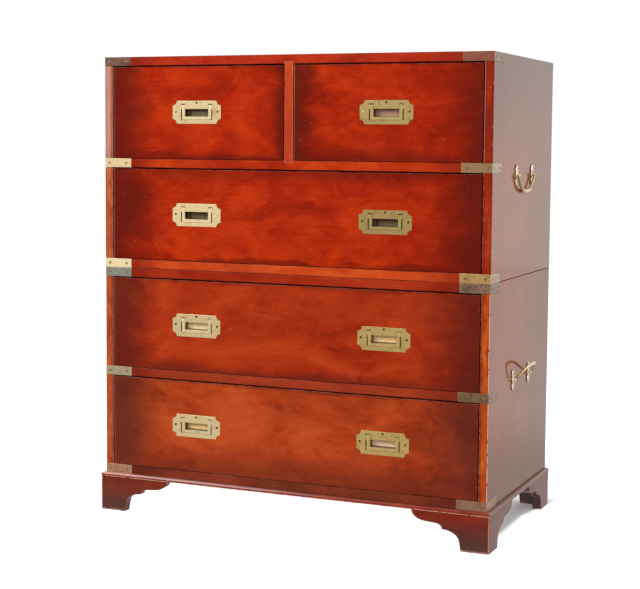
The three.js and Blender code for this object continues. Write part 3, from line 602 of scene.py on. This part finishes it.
strap_tones = {
    # strap: (look, light tone, dull tone)
    "upper_top_left": ("brown", (0.13, 0.058, 0.038), (0.085, 0.032, 0.022)),
    "upper_top_right": ("red brown", (0.31, 0.095, 0.055), (0.21, 0.042, 0.024)),
    "upper_rail_left": ("bright", (0.88, 0.66, 0.36), (0.70, 0.49, 0.24)),
    "upper_rail_right": ("mellow", (0.42, 0.26, 0.11), (0.29, 0.155, 0.062)),
    "upper_bottom_left": ("pale", (0.98, 0.78, 0.46), (0.84, 0.62, 0.33)),
    "upper_bottom_right": ("aged gold", (0.72, 0.45, 0.165), (0.45, 0.25, 0.088)),
    "lower_top_left": ("grey", (0.41, 0.385, 0.315), (0.29, 0.265, 0.205)),
    "lower_top_right": ("scratched grey", (0.38, 0.22, 0.13), (0.14, 0.085, 0.054)),
    "lower_rail_left": ("green grey", (0.72, 0.58, 0.365), (0.52, 0.40, 0.235)),
    "lower_rail_right": ("olive grey", (0.36, 0.215, 0.115), (0.175, 0.095, 0.050)),
    "lower_bottom_left": ("tarnished", (0.66, 0.365, 0.20), (0.46, 0.23, 0.115)),
    "lower_bottom_right": ("dark tarnished", (0.49, 0.26, 0.165), (0.31, 0.14, 0.090)),
}
strap_metals = {}
for number, (strap, (look, light, dull)) in enumerate(strap_tones.items()):
    amount = 0.35 if look in ("bright", "pale") else 0.5
    metal = 0.3 if look == "pale" else 0.6
    strap_metals[strap] = brass(f"{look} brass", light, dull, amount, metal=metal, seed=number + 1)


def lacquered(name, light, dull, seed):
    """Brass that is dull under a clear coat, and mirrors the room where it is seen at a low angle."""
    finish = brass(name, light, dull, rough=0.4, metal=0.0, seed=seed)
    finish.set(Specular_IOR_Level=0.0, Coat_Weight=1.0, Coat_Roughness=0.08, Coat_IOR=1.5)
    return finish


dulled_leg = lacquered("dulled side leg brass", (0.23, 0.115, 0.045), (0.13, 0.066, 0.030), 13)
rubbed_leg = lacquered("rubbed side leg brass", (0.44, 0.32, 0.18), (0.25, 0.165, 0.088), 14)
warm_leg = lacquered("warm side leg brass", (0.36, 0.20, 0.115), (0.26, 0.135, 0.075), 15)
leg_metals = {
    "upper_rail_right": rubbed_leg, "upper_bottom_right": rubbed_leg, "lower_bottom_right": warm_leg,
}
vee_x, vee_rise, leans = 0.3834, 0.002, (0.52, -0.30)
scratched = strap_metals["lower_top_right"]
rise = scratched.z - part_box("lower_top")[0].z - vee_rise
arms = [abs(scratched.x - vee_x + rise * lean) for lean in leans]
vee = arms[0].least(arms[1]).fade(0.0003, 0.0010) * rise.ease(-0.0006, 0.0)
scratched.wash(vee * 0.8, (0.62, 0.36, 0.27))
for strap, metal in strap_metals.items():
    sheet = polished(f"{strap}_strap", metal, width=0.0003, shortest=0.01)
    also(sheet, leg_metals.get(strap, dulled_leg), is_end)


# Back corner brackets: short sheet brass angles on the top and bottom boards at the back.
# Each is let into the wood on both faces and fixed with two screws through its side leg.

def settled(obj, modifier):
    """Keeps what a modifier makes of a piece as its plain mesh."""
    graph = bpy.context.evaluated_depsgraph_get()
    mesh = bpy.data.meshes.new_from_object(obj.evaluated_get(graph))
    obj.modifiers.remove(modifier)
    obj.data = mesh
    return obj


def cut_by(obj, cutter):
    knife = obj.modifiers.new("inlet", "BOOLEAN")
    knife.operation, knife.solver, knife.object = "DIFFERENCE", "EXACT", cutter
    return settled(obj, knife)


def angle_plate(name, sign, leg, thick, past, low_z, high_z):
    """A right-angled plate round a back corner, as thick as given and standing past its faces."""
    out_x, out_y = face_x + past, back_y + past
    in_x, in_y = face_x - thick, back_y - thick
    plan = [(out_x, back_y - leg), (out_x, out_y), (face_x - leg, out_y)]
    plan += [(face_x - leg, in_y), (in_x, in_y), (in_x, back_y - leg)]
    bm = bmesh.new()
    base = bm.faces.new([bm.verts.new((sign * x, y, low_z)) for x, y in plan])
    raised = bmesh.ops.extrude_face_region(bm, geom=[base])
    tops = [part for part in raised["geom"] if isinstance(part, bmesh.types.BMVert)]
    bmesh.ops.translate(bm, verts=tops, vec=(0, 0, high_z - low_z))
    bmesh.ops.recalc_face_normals(bm, faces=bm.faces)
    return piece(name, bm)


back_y = 0.211
bracket_leg, bracket_thick = 0.050, 0.002
gap, cutter_past = 0.0004, 0.002
bracket_metal = lacquered("grey green brass", (0.14, 0.095, 0.045), (0.09, 0.060, 0.030), 19)
for half, level in (("upper", "top"), ("lower", "bottom")):
    for hand, sign in hands:
        lo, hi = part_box(f"{half}_{level}_{hand}_strap")
        name = f"{half}_{level}_{hand}_back_bracket"
        bracket = angle_plate(name, sign, bracket_leg, bracket_thick, 0.0, lo.z, hi.z)
        finished(bracket, bracket_metal, f"{half}_case")
        leg, thick = bracket_leg + gap, bracket_thick + gap
        inlet = angle_plate("inlet", sign, leg, thick, cutter_past, lo.z - gap, hi.z + gap)
        for node in (f"{half}_{level}", f"{half}_{hand}_side", f"{half}_back"):
            cut_by(bpy.data.objects["polished_" + node], inlet)
        bpy.data.objects.remove(inlet)


# Flush drawer handles: a cast plate with scooped corners, a hinged bail and a finger cup behind it.
# Each is let into its drawer front and held by three screws. The left ones are the paler.

plate_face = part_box("bottom_drawer_left_plate")[0].y
cup_left, cup_lip = 0.0256, 0.0306
tarnish = {"left": 0.35, "right": 0.5}
plate_tones = {
    "left": ((0.74, 0.56, 0.29), (0.56, 0.38, 0.15)),
    "right": ((0.43, 0.30, 0.10), (0.31, 0.195, 0.062)),
}
bail_tones = {
    "left": ((0.86, 0.69, 0.38), (0.66, 0.46, 0.21)),
    "right": ((0.48, 0.34, 0.12), (0.34, 0.225, 0.07)),
}
# The cup colours are painted light and shade: dark in the upper rows, where the cups lie in shade, pale and
# gold in the lower, where they are lit.
shaded_cup, lit_cup, lit_gold_cup = (0.14, 0.085, 0.026), (0.98, 0.78, 0.44), (0.98, 0.68, 0.32)
handles = [
    # drawer, which of its handles, column, how clean the brass is, colour of the cup, painted shaded above
    # and lit below
    ("top_left_drawer", "", "left", 0.88, shaded_cup),
    ("top_right_drawer", "", "right", 1.12, (0.46, 0.24, 0.15)),
    ("second_drawer", "_left", "left", 1.24, shaded_cup),
    ("second_drawer", "_right", "right", 1.10, shaded_cup),
    ("third_drawer", "_left", "left", 1.18, lit_cup),
    ("third_drawer", "_right", "right", 1.62, lit_gold_cup),
    ("bottom_drawer", "_left", "left", 1.42, lit_gold_cup),
    ("bottom_drawer", "_right", "right", 1.74, (0.92, 0.66, 0.42)),
]


def cleaned(tones, clean):
    """The light and the dull tone made paler together, as far as the light one can go."""
    shine = min(clean, 1.0 / tones[0][0])
    return [tuple(c * shine for c in tone) for tone in tones]


for number, (drawer, label, hand, clean, cup) in enumerate(handles):
    node = f"{drawer}{label}_plate"
    lo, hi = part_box(node)
    light, dull = cleaned(plate_tones[hand], clean)
    metal = brass(f"{node} brass", light, dull, tarnish[hand], metal=0.45, seed=2.7 * number)
    recess = metal.y.ease(plate_face + 0.0003, plate_face + 0.0007)
    metal.wash(recess, (0.13, 0.08, 0.016))
    scratch = metal.noise((metal.x * 60.0, metal.z * 420.0, number), detail=3.0)
    inside = (scratch.ease(0.5, 0.7) * 0.5).blend(cup, tuple(c * 0.55 for c in cup))
    step = metal.x - (lo.x + hi.x) / 2 + cup_left
    reach, glint = (0.0075, 0.8) if cup == shaded_cup else (0.0, 0.2)
    # A painted shadow down the cup's left wall and along its foot.
    cup_shadow = step.fade(reach, reach + 0.0012).most((metal.z - hi.z + cup_lip).fade(0.0008, 0.0018))
    inside = (cup_shadow * 0.85).blend(inside, (0.045, 0.020, 0.006))
    # A red-brown painted glint on the cup's left wall, strongest in the shaded cups.
    wall_glint = step.ease(0.0004, 0.0010) * step.fade(0.0024, 0.0034)
    inside = (wall_glint * glint).blend(inside, (0.30, 0.085, 0.030))
    deep = metal.y.ease(plate_face + 0.0031, plate_face + 0.0036)
    metal.wash(deep, inside)
    metal.set(Metallic=0.45 - deep * 0.45)
    polished(node, metal, width=0.0003, shortest=0.004)
    light, dull = cleaned(bail_tones[hand], clean)
    name, seed = f"{drawer}{label} bail brass", 21.0 + number
    metal = brass(name, light, dull, tarnish[hand], rough=0.36, metal=0.45, seed=seed)
    polished(f"{drawer}{label}_bail", metal, width=0.0003, shortest=0.004)


# Carrying handles: on each side of each half, two spear-shaped cast backplates with forked balls.
# A swan-necked drop bail turns on pins in the forks. It is thickest where the hand holds it.

class Jig(Drawing):
    """A node tree that makes a piece from its named sizes."""

    def __init__(self, name, start, *sizes):
        self.tree = bpy.data.node_groups.new(name, "GeometryNodeTree")
        wanted = [(start, "INPUT", "Geometry"), *((label, "INPUT", "Float") for label in sizes)]
        wanted += [("Metal", "INPUT", "Material"), ("Form", "OUTPUT", "Geometry")]
        for label, way, kind in wanted:
            self.tree.interface.new_socket(label, in_out=way, socket_type="NodeSocket" + kind)
        sockets = self.tree.nodes.new("NodeGroupInput").outputs
        self.start = Tone(self, sockets[0])
        self.sizes = [Tone(self, sockets[label]) for label in sizes]
        self.metal = Tone(self, sockets["Metal"])

    def deliver(self, form):
        whole = self.node("GeometryNodeRealizeInstances", None, [form])
        painted = self.node("GeometryNodeSetMaterial", None, {"Geometry": whole, "Material": self.metal})
        self.feed(self.tree.nodes.new("NodeGroupOutput").inputs[0], painted)

    def run(self, obj, **values):
        modifier = obj.modifiers.new(self.tree.name, "NODES")
        modifier.node_group = self.tree
        for item in self.tree.interface.items_tree:
            key = item.name.replace(" ", "_")
            if item.in_out == "INPUT" and key in values:
                modifier[item.identifier] = values[key]
        return settled(obj, modifier)


swan_neck = Jig("swan necked bail", "Path", "End Radius", "Middle Radius", "Post Spacing")
end_size, middle_size, spacing = swan_neck.sizes
rod = swan_neck.node("GeometryNodeMeshToCurve", None, [swan_neck.start])
_, along, _ = swan_neck.split(swan_neck.node("GeometryNodeInputPosition"))
taper = (along * math.pi / spacing).cosine()
thickness = end_size + (middle_size - end_size) * taper * taper
ring = swan_neck.node("GeometryNodeCurvePrimitiveCircle", None, {"Resolution": 20, "Radius": 1.0})
rod = swan_neck.node("GeometryNodeCurveToMesh", None, [rod, ring, thickness, True])
swan_neck.deliver(swan_neck.node("GeometryNodeSetShadeSmooth", None, [rod]))


def spear_points(steps):
    """Right half of the backplate's outline, from its lower tip to its upper tip."""
    leaf, waist, boss = 0.0082, 0.0046, 0.0088
    curves = [
        ((0.0, -1.0), (leaf, -0.8), (leaf, -0.52)),
        ((leaf, -0.52), (leaf, -0.33), (waist, -0.33)),
        ((waist, -0.33), (boss, 0.0), (waist, 0.33)),
        ((waist, 0.33), (leaf, 0.33), (leaf, 0.52)),
        ((leaf, 0.52), (leaf, 0.8), (0.0, 1.0)),
    ]
    points = []
    for curve in curves:
        for i in range(steps):
            t = i / steps
            a, b, c = (1 - t) ** 2, 2 * t * (1 - t), t ** 2
            points.append(tuple(a * start + b * pull + c * stop for start, pull, stop in zip(*curve)))
    return points


def stacked(bm, rings):
    """Joins rings of corners into a closed skin."""
    rows = [[bm.verts.new(corner) for corner in ring] for ring in rings]
    for row, above in zip(rows, rows[1:]):
        for i in range(len(row)):
            j = (i + 1) % len(row)
            bm.faces.new((row[i], row[j], above[j], above[i]))
    bm.faces.new(rows[-1])
    bm.faces.new(list(reversed(rows[0])))


def backplate(bm, sign, y, z):
    half = spear_points(7)
    outline = half + [(0.0, 1.0)] + [(-u, v) for u, v in reversed(half[1:])]
    levels = ((1.0, 1.0, 0.0001), (1.0, 1.0, 0.0019), (0.90, 0.98, 0.0024), (0.55, 0.9, 0.0027))
    stacked(bm, [
        [(sign * (face_x + lift), y + u * width, z + v * height * half_height) for u, v in outline]
        for width, height, lift in levels
    ])


def ball_post(bm, sign, y, z):
    """A ball turned in one with its short flared post."""
    profile = [(0.0056, 0.0015), (0.0046, 0.0027)]
    for degrees in range(56, 178, 10):
        a = math.radians(degrees)
        profile.append((ball_radius * math.sin(a), post_reach - ball_radius * math.cos(a)))
    turns = [2 * math.pi * k / 24 for k in range(24)]
    stacked(bm, [
        [(sign * (face_x + out), y + radius * math.cos(a), z + radius * math.sin(a)) for a in turns]
        for radius, out in profile
    ])


def fork_slot(bm, sign, y, z):
    slot = bmesh.ops.create_cube(bm, size=1.0)["verts"]
    bmesh.ops.scale(bm, verts=slot, vec=slot_size)
    bmesh.ops.translate(bm, verts=slot, vec=(sign * (face_x + post_reach + slot_out), y, z))


def rounded(knots, bends):
    """The path through the knots, with each corner eased by its own bend."""
    points = [knots[0]]
    for before, corner, after, bend in zip(knots, knots[1:], knots[2:], bends):
        enter = corner + (before - corner).normalized() * bend
        leave = corner + (after - corner).normalized() * bend
        for i in range(13):
            t = i / 12
            points.append(enter * (1 - t) ** 2 + corner * (2 * t * (1 - t)) + leave * t ** 2)
    return points + [knots[-1]]


def bail_pivot(half, hand):
    name = f"{half}_{hand}_drop_bail_hinge"
    return Vector(next(joint["pos_m"] for joint in frame["joints"] if joint["name"] == name))


half_height, post_reach, ball_radius, post_half = 0.0204, 0.0056, 0.0044, 0.054
slot_size, slot_out = (0.010, 0.0050, 0.014), 0.0025
eye_radius, pin_radius, pin_length = 0.0022, 0.0013, 0.0064
pin_turn = Matrix.Rotation(math.pi / 2, 3, "X")
neck, bends = ((-post_half, 0), (-post_half, -0.0065), (-0.026, -0.0305)), (0.004, 0.018, 0.018, 0.004)
sharp = math.radians(48)
leaning = {"lower": math.radians(145), "upper": 0.0}
light, dull = (0.95, 0.78, 0.58), (0.46, 0.29, 0.13)
cast_metal = brass("cast backplate brass", light, dull, 0.5, rough=0.30, metal=0.5, seed=17)
# The rim walls of the backplates are painted dark: a painted shadow round their outline, and tarnish.
rim = (abs(cast_metal.x) - face_x).fade(0.0014, 0.0019)
cast_metal.wash(rim * 0.85, (0.12, 0.055, 0.02))
light, dull = (0.52, 0.38, 0.15), (0.30, 0.19, 0.06)
grip_metal = brass("cast bail brass", light, dull, 0.45, rough=0.26, metal=0.75, seed=18)
for half in ("lower", "upper"):
    for hand, sign in hands:
        node, pivot = f"{half}_{hand}_drop_bail", bail_pivot(half, hand)
        plates, posts, slots, path, bail_ends = (bmesh.new() for _ in range(5))
        for end in (-1, 1):
            where = (sign, pivot.y + end * post_half, pivot.z)
            backplate(plates, *where)
            ball_post(posts, *where)
            fork_slot(slots, *where)
        for solid in (plates, posts, slots):
            bmesh.ops.recalc_face_normals(solid, faces=solid.faces)
        slot_piece = piece("slots", slots)
        post_piece = cut_by(piece("posts", posts), slot_piece)
        plates.from_mesh(post_piece.data)
        for spent in (slot_piece, post_piece):
            bpy.data.objects.remove(spent)
        for face in plates.faces:
            face.smooth = True
        for edge in plates.edges:
            edge.smooth = len(edge.link_faces) == 2 and edge.calc_face_angle() < sharp
        cast = piece(f"{half}_{hand}_backplates", plates)
        finished(cast, cast_metal, f"{half}_case", f"{half}_{hand}_side")
        knots = [Vector((0, y, z)) for y, z in neck]
        knots += [Vector((0, -knot.y, knot.z)) for knot in reversed(knots)]
        spots = [path.verts.new(point) for point in rounded(knots, bends)]
        for pair in zip(spots, spots[1:]):
            path.edges.new(pair)
        bail = swan_neck.run(
            piece(f"{half}_{hand}_swan_bail", path),
            End_Radius=0.002, Middle_Radius=0.0039, Post_Spacing=2 * post_half, Metal=grip_metal.material,
        )
        bail_ends.from_mesh(bail.data)
        for end in (-post_half, post_half):
            eye = bmesh.ops.create_uvsphere(bail_ends, u_segments=18, v_segments=12, radius=eye_radius)
            bmesh.ops.translate(bail_ends, verts=eye["verts"], vec=(0, end, 0))
            pin = bmesh.ops.create_cone(
                bail_ends, cap_ends=True, segments=14,
                radius1=pin_radius, radius2=pin_radius, depth=pin_length,
            )
            bmesh.ops.rotate(bail_ends, verts=pin["verts"], matrix=pin_turn)
            bmesh.ops.translate(bail_ends, verts=pin["verts"], vec=(0, end, 0))
        bail_ends.transform(Matrix.Translation(pivot) @ Matrix.Rotation(-sign * leaning[half], 4, "Y"))
        bmesh.ops.recalc_face_normals(bail_ends, faces=bail_ends.faces)
        for face in bail_ends.faces:
            face.smooth = True
        bail_ends.to_mesh(bail.data)
        bail_ends.free()
        finished(bail, grip_metal, f"{node}_body", node)
held = abs(grip_metal.y - pivot.y).fade(0.014, 0.036)
grip_metal.wash(held * 0.8, (0.86, 0.64, 0.46))


# Screws: slotted brass screws, countersunk in straps, brackets, plates and backplates, turned any way.
# Most are painted dark, for old polish and for the shade in their countersinks, and a few plate screws are
# painted bright as glints.

slotted_screws = Jig("slotted screws", "Points", "Head Radius", "Head Height", "Slot Width")
head_size, head_height, slot_width = slotted_screws.sizes
made = slotted_screws.node
cone = {"Vertices": 16, "Radius Top": head_size * 0.8, "Radius Bottom": head_size, "Depth": head_height}
head = made("GeometryNodeMeshCone", None, cone)
slot = made("GeometryNodeMeshCube", None, [slotted_screws.point(head_size * 2.4, slot_width, head_height)])
slot = made("GeometryNodeTransform", None, [slot, slotted_screws.point(0.0, 0.0, head_height)])
head = made("GeometryNodeMeshBoolean", {"operation": "DIFFERENCE"}, [head, slot])
aim = made("GeometryNodeInputNamedAttribute", {"data_type": "FLOAT_VECTOR"}, ["aim"])
spin = made("FunctionNodeRandomValue", None, {2: -1.5, 3: 1.5, "Seed": 7}, output=1)
spin = made("FunctionNodeAxisAngleToRotation", None, [(0, 0, 1), spin])
aim = made("FunctionNodeRotateRotation", {"rotation_space": "LOCAL"}, [aim, spin])
driven = {"Points": slotted_screws.start, "Instance": head, "Rotation": aim}
slotted_screws.deliver(made("GeometryNodeInstanceOnPoints", None, driven))

light, dull = (0.30, 0.20, 0.12), (0.18, 0.115, 0.066)
strap_screw = brass("strap screw brass", light, dull, rough=0.4, metal=0.4, seed=17)
light, dull = (0.12, 0.075, 0.018), (0.045, 0.024, 0.006)
plate_screw = brass("plate screw brass", light, dull, rough=0.4, metal=0.5, seed=18)
# A few plate screw heads are painted bright, a painted glint.
glinting_head = plate_screw.noise(plate_screw.place, 37.0, detail=0.0).ease(0.56, 0.62)
plate_screw.wash(glinting_head, (0.72, 0.60, 0.36))
quarter = math.pi / 2
facing = {"front": (quarter, 0.0, 0.0), "right": (0.0, quarter, 0.0), "left": (0.0, -quarter, 0.0)}


def drive_screws(name, body, radius, metal, spots):
    """Screws for one body, from their places and the face that each is driven into."""
    points = bmesh.new()
    for where, _ in spots:
        points.verts.new(where)
    obj = piece(name, points)
    aims = obj.data.attributes.new("aim", "FLOAT_VECTOR", "POINT")
    for i, (_, side) in enumerate(spots):
        aims.data[i].vector = facing[side]
    slotted_screws.run(obj, Head_Radius=radius, Head_Height=0.0006, Slot_Width=0.0006, Metal=metal.material)
    finished(obj, None, body)


small_head, large_head = 0.0023, 0.0026
plate_out, plate_down, plate_top = 0.0455, 0.021, 0.0040
strap_steps = {"front": (0.010, 0.048), "side": (0.012, 0.046), "back": (0.010, 0.040)}
leaf_face, leaf_out = 0.0024, 0.0122
for name in drawers:
    spots = []
    for drawer, label, *_ in handles:
        if drawer == name:
            lo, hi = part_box(f"{drawer}{label}_plate")
            middle = (lo.x + hi.x) / 2
            for out, down in ((-plate_out, plate_down), (plate_out, plate_down), (0.0, plate_top)):
                spots.append(((middle + out, plate_face, hi.z - down), "front"))
    drive_screws(f"{name}_plate_screws", name, small_head, plate_screw, spots)
for half, end_board in (("lower", "bottom"), ("upper", "top")):
    spots, leaf_spots = [], []
    for level in ("bottom", "rail", "top"):
        for hand, sign in hands:
            lo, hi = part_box(f"{half}_{level}_{hand}_strap")
            z = (lo.z + hi.z) / 2
            spots += [((sign * (face_x - step), lo.y, z), "front") for step in strap_steps["front"]]
            spots += [((sign * face_x, lo.y + step, z), hand) for step in strap_steps["side"]]
    for hand, sign in hands:
        lo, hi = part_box(f"{half}_{end_board}_{hand}_strap")
        z = (lo.z + hi.z) / 2
        spots += [((sign * face_x, back_y - step, z), hand) for step in strap_steps["back"]]
        pivot = bail_pivot(half, hand)
        for end in (-post_half, post_half):
            for tip in (-leaf_out, leaf_out):
                leaf_spots.append(((sign * (face_x + leaf_face), pivot.y + end, pivot.z + tip), hand))
    drive_screws(f"{half}_case_screws", f"{half}_case", large_head, strap_screw, spots)
    drive_screws(f"{half}_backplate_screws", f"{half}_case", small_head, plate_screw, leaf_spots)


# Room: a white floor and plain soft lamps, white behind and beside the chest and dark behind the camera.
# On the right, between the feet, a soft grey shadow is painted into the floor's glow, over the shadow its
# matt part takes.

class Surround(Drawing):
    """The nodes of the floor or of the room, with what each kind of ray sees."""

    def __init__(self, owner):
        owner.use_nodes = True
        self.tree = owner.node_tree
        self.tree.nodes.clear()
        self.eye = self.node("ShaderNodeLightPath", output="Is Camera Ray")
        self.gloss = self.node("ShaderNodeLightPath", output="Is Glossy Ray")


floor_mesh = bmesh.new()
bmesh.ops.create_grid(floor_mesh, x_segments=1, y_segments=1, size=6.0)
floor = piece("white_floor", floor_mesh)
floor.data.materials.append(bpy.data.materials.new("white floor"))
paint = Surround(floor.data.materials[0])
x, y, _ = paint.split(paint.node("ShaderNodeTexCoord", output="Object"))
# The painted shadow: a soft grey under and beside the right of the chest.
edge = x - (y - 0.09).most(0.0) * 0.2
shaded = (x + y * 0.42).ease(0.24, 0.33) * edge.fade(0.376, 0.396) * y.ease(-0.17, -0.08)
shaded = shaded * y.fade(0.19, 0.32) * (x.ease(0.33, 0.37) * 0.2 + 0.62)
# For glossy rays the floor glows from just in front of the chest backwards: painted light in the chest's
# reflections.
mirrored = paint.gloss * (y.ease(-0.6, -0.1) * 0.59 + y.ease(0.5, 1.3) * 0.22)
glow = paint.eye * (1.0 - shaded) + mirrored
unseen = y.fade(-0.50, -0.25).most(paint.gloss)
matt = paint.node("ShaderNodeBsdfDiffuse", None, {"Color": unseen.blend((0.5, 0.5, 0.5), (0, 0, 0))})
glow = paint.node("ShaderNodeEmission", None, {"Color": glow.blend((0, 0, 0), (1, 1, 1))})
both = paint.node("ShaderNodeAddShader", None, [matt, glow])
paint.feed(paint.tree.nodes.new("ShaderNodeOutputMaterial").inputs["Surface"], both)
world = bpy.data.worlds.new("white studio")
bpy.context.scene.world = world
air = Surround(world)
_, y, _ = air.split(air.node("ShaderNodeTexCoord", output="Generated"))
behind = y.ease(-0.75, 0.1) * 0.90 + 0.05
level = air.eye + air.gloss * behind + (1.0 - air.eye - air.gloss) * 0.45
sky = air.node("ShaderNodeBackground", None, {"Color": (1, 1, 1), "Strength": level})
air.feed(air.tree.nodes.new("ShaderNodeOutputWorld").inputs["Surface"], sky)

lamps = {
    # name: (place, aim, width, watts)
    "soft key": ((-1.9, -2.6, 2.3), (0.0, 0.0, 0.5), 1.7, 106.0),
    "soft fill": ((1.6, -3.2, 1.2), (0.0, 0.0, 0.45), 1.8, 39.0),
    "side fill": ((2.8, 0.6, 1.6), (0.2, 0.0, 0.5), 2.8, 45.0),
}
for name, (place, aim_at, width, watts) in lamps.items():
    lamp = bpy.data.lights.new(name, "AREA")
    lamp.shape, lamp.size, lamp.energy = "SQUARE", width, watts
    holder = bpy.data.objects.new(name, lamp)
    bpy.context.scene.collection.objects.link(holder)
    turned = (Vector(aim_at) - Vector(place)).to_track_quat("-Z", "Y").to_matrix().to_4x4()
    holder.matrix_world = Matrix.Translation(place) @ turned


# Camera: the photograph's own viewpoint, off the right front corner and a little above the middle.
# It has a long lens, shifted so that the chest stands where it does in the picture.

azimuth, elevation, roll = (math.radians(angle) for angle in (22.842, 4.671, 0.491))
level_out = math.cos(elevation)
back = Vector((math.sin(azimuth) * level_out, -math.cos(azimuth) * level_out, math.sin(elevation)))
right = Vector((math.cos(azimuth), math.sin(azimuth), 0.0))
up = right.cross(-back)
target = Vector((0.0, -0.003, 0.5))
distance, aside, lower = 2.979, 0.004918, 0.000665
eye = target + back * distance + right * aside - up * lower
across = right * math.cos(roll) + up * math.sin(roll)
upright = up * math.cos(roll) - right * math.sin(roll)
lens = bpy.data.cameras.new("long lens")
lens.lens, lens.sensor_width = 82.9, 36.0
lens.shift_x, lens.shift_y = -0.0175, -0.0484
camera = bpy.data.objects.new("camera", lens)
bpy.context.scene.collection.objects.link(camera)
camera.matrix_world = Matrix.Translation(eye) @ Matrix((across, upright, back)).transposed().to_4x4()
bpy.context.scene.camera = camera
bpy.context.scene.view_settings.view_transform = "Standard"
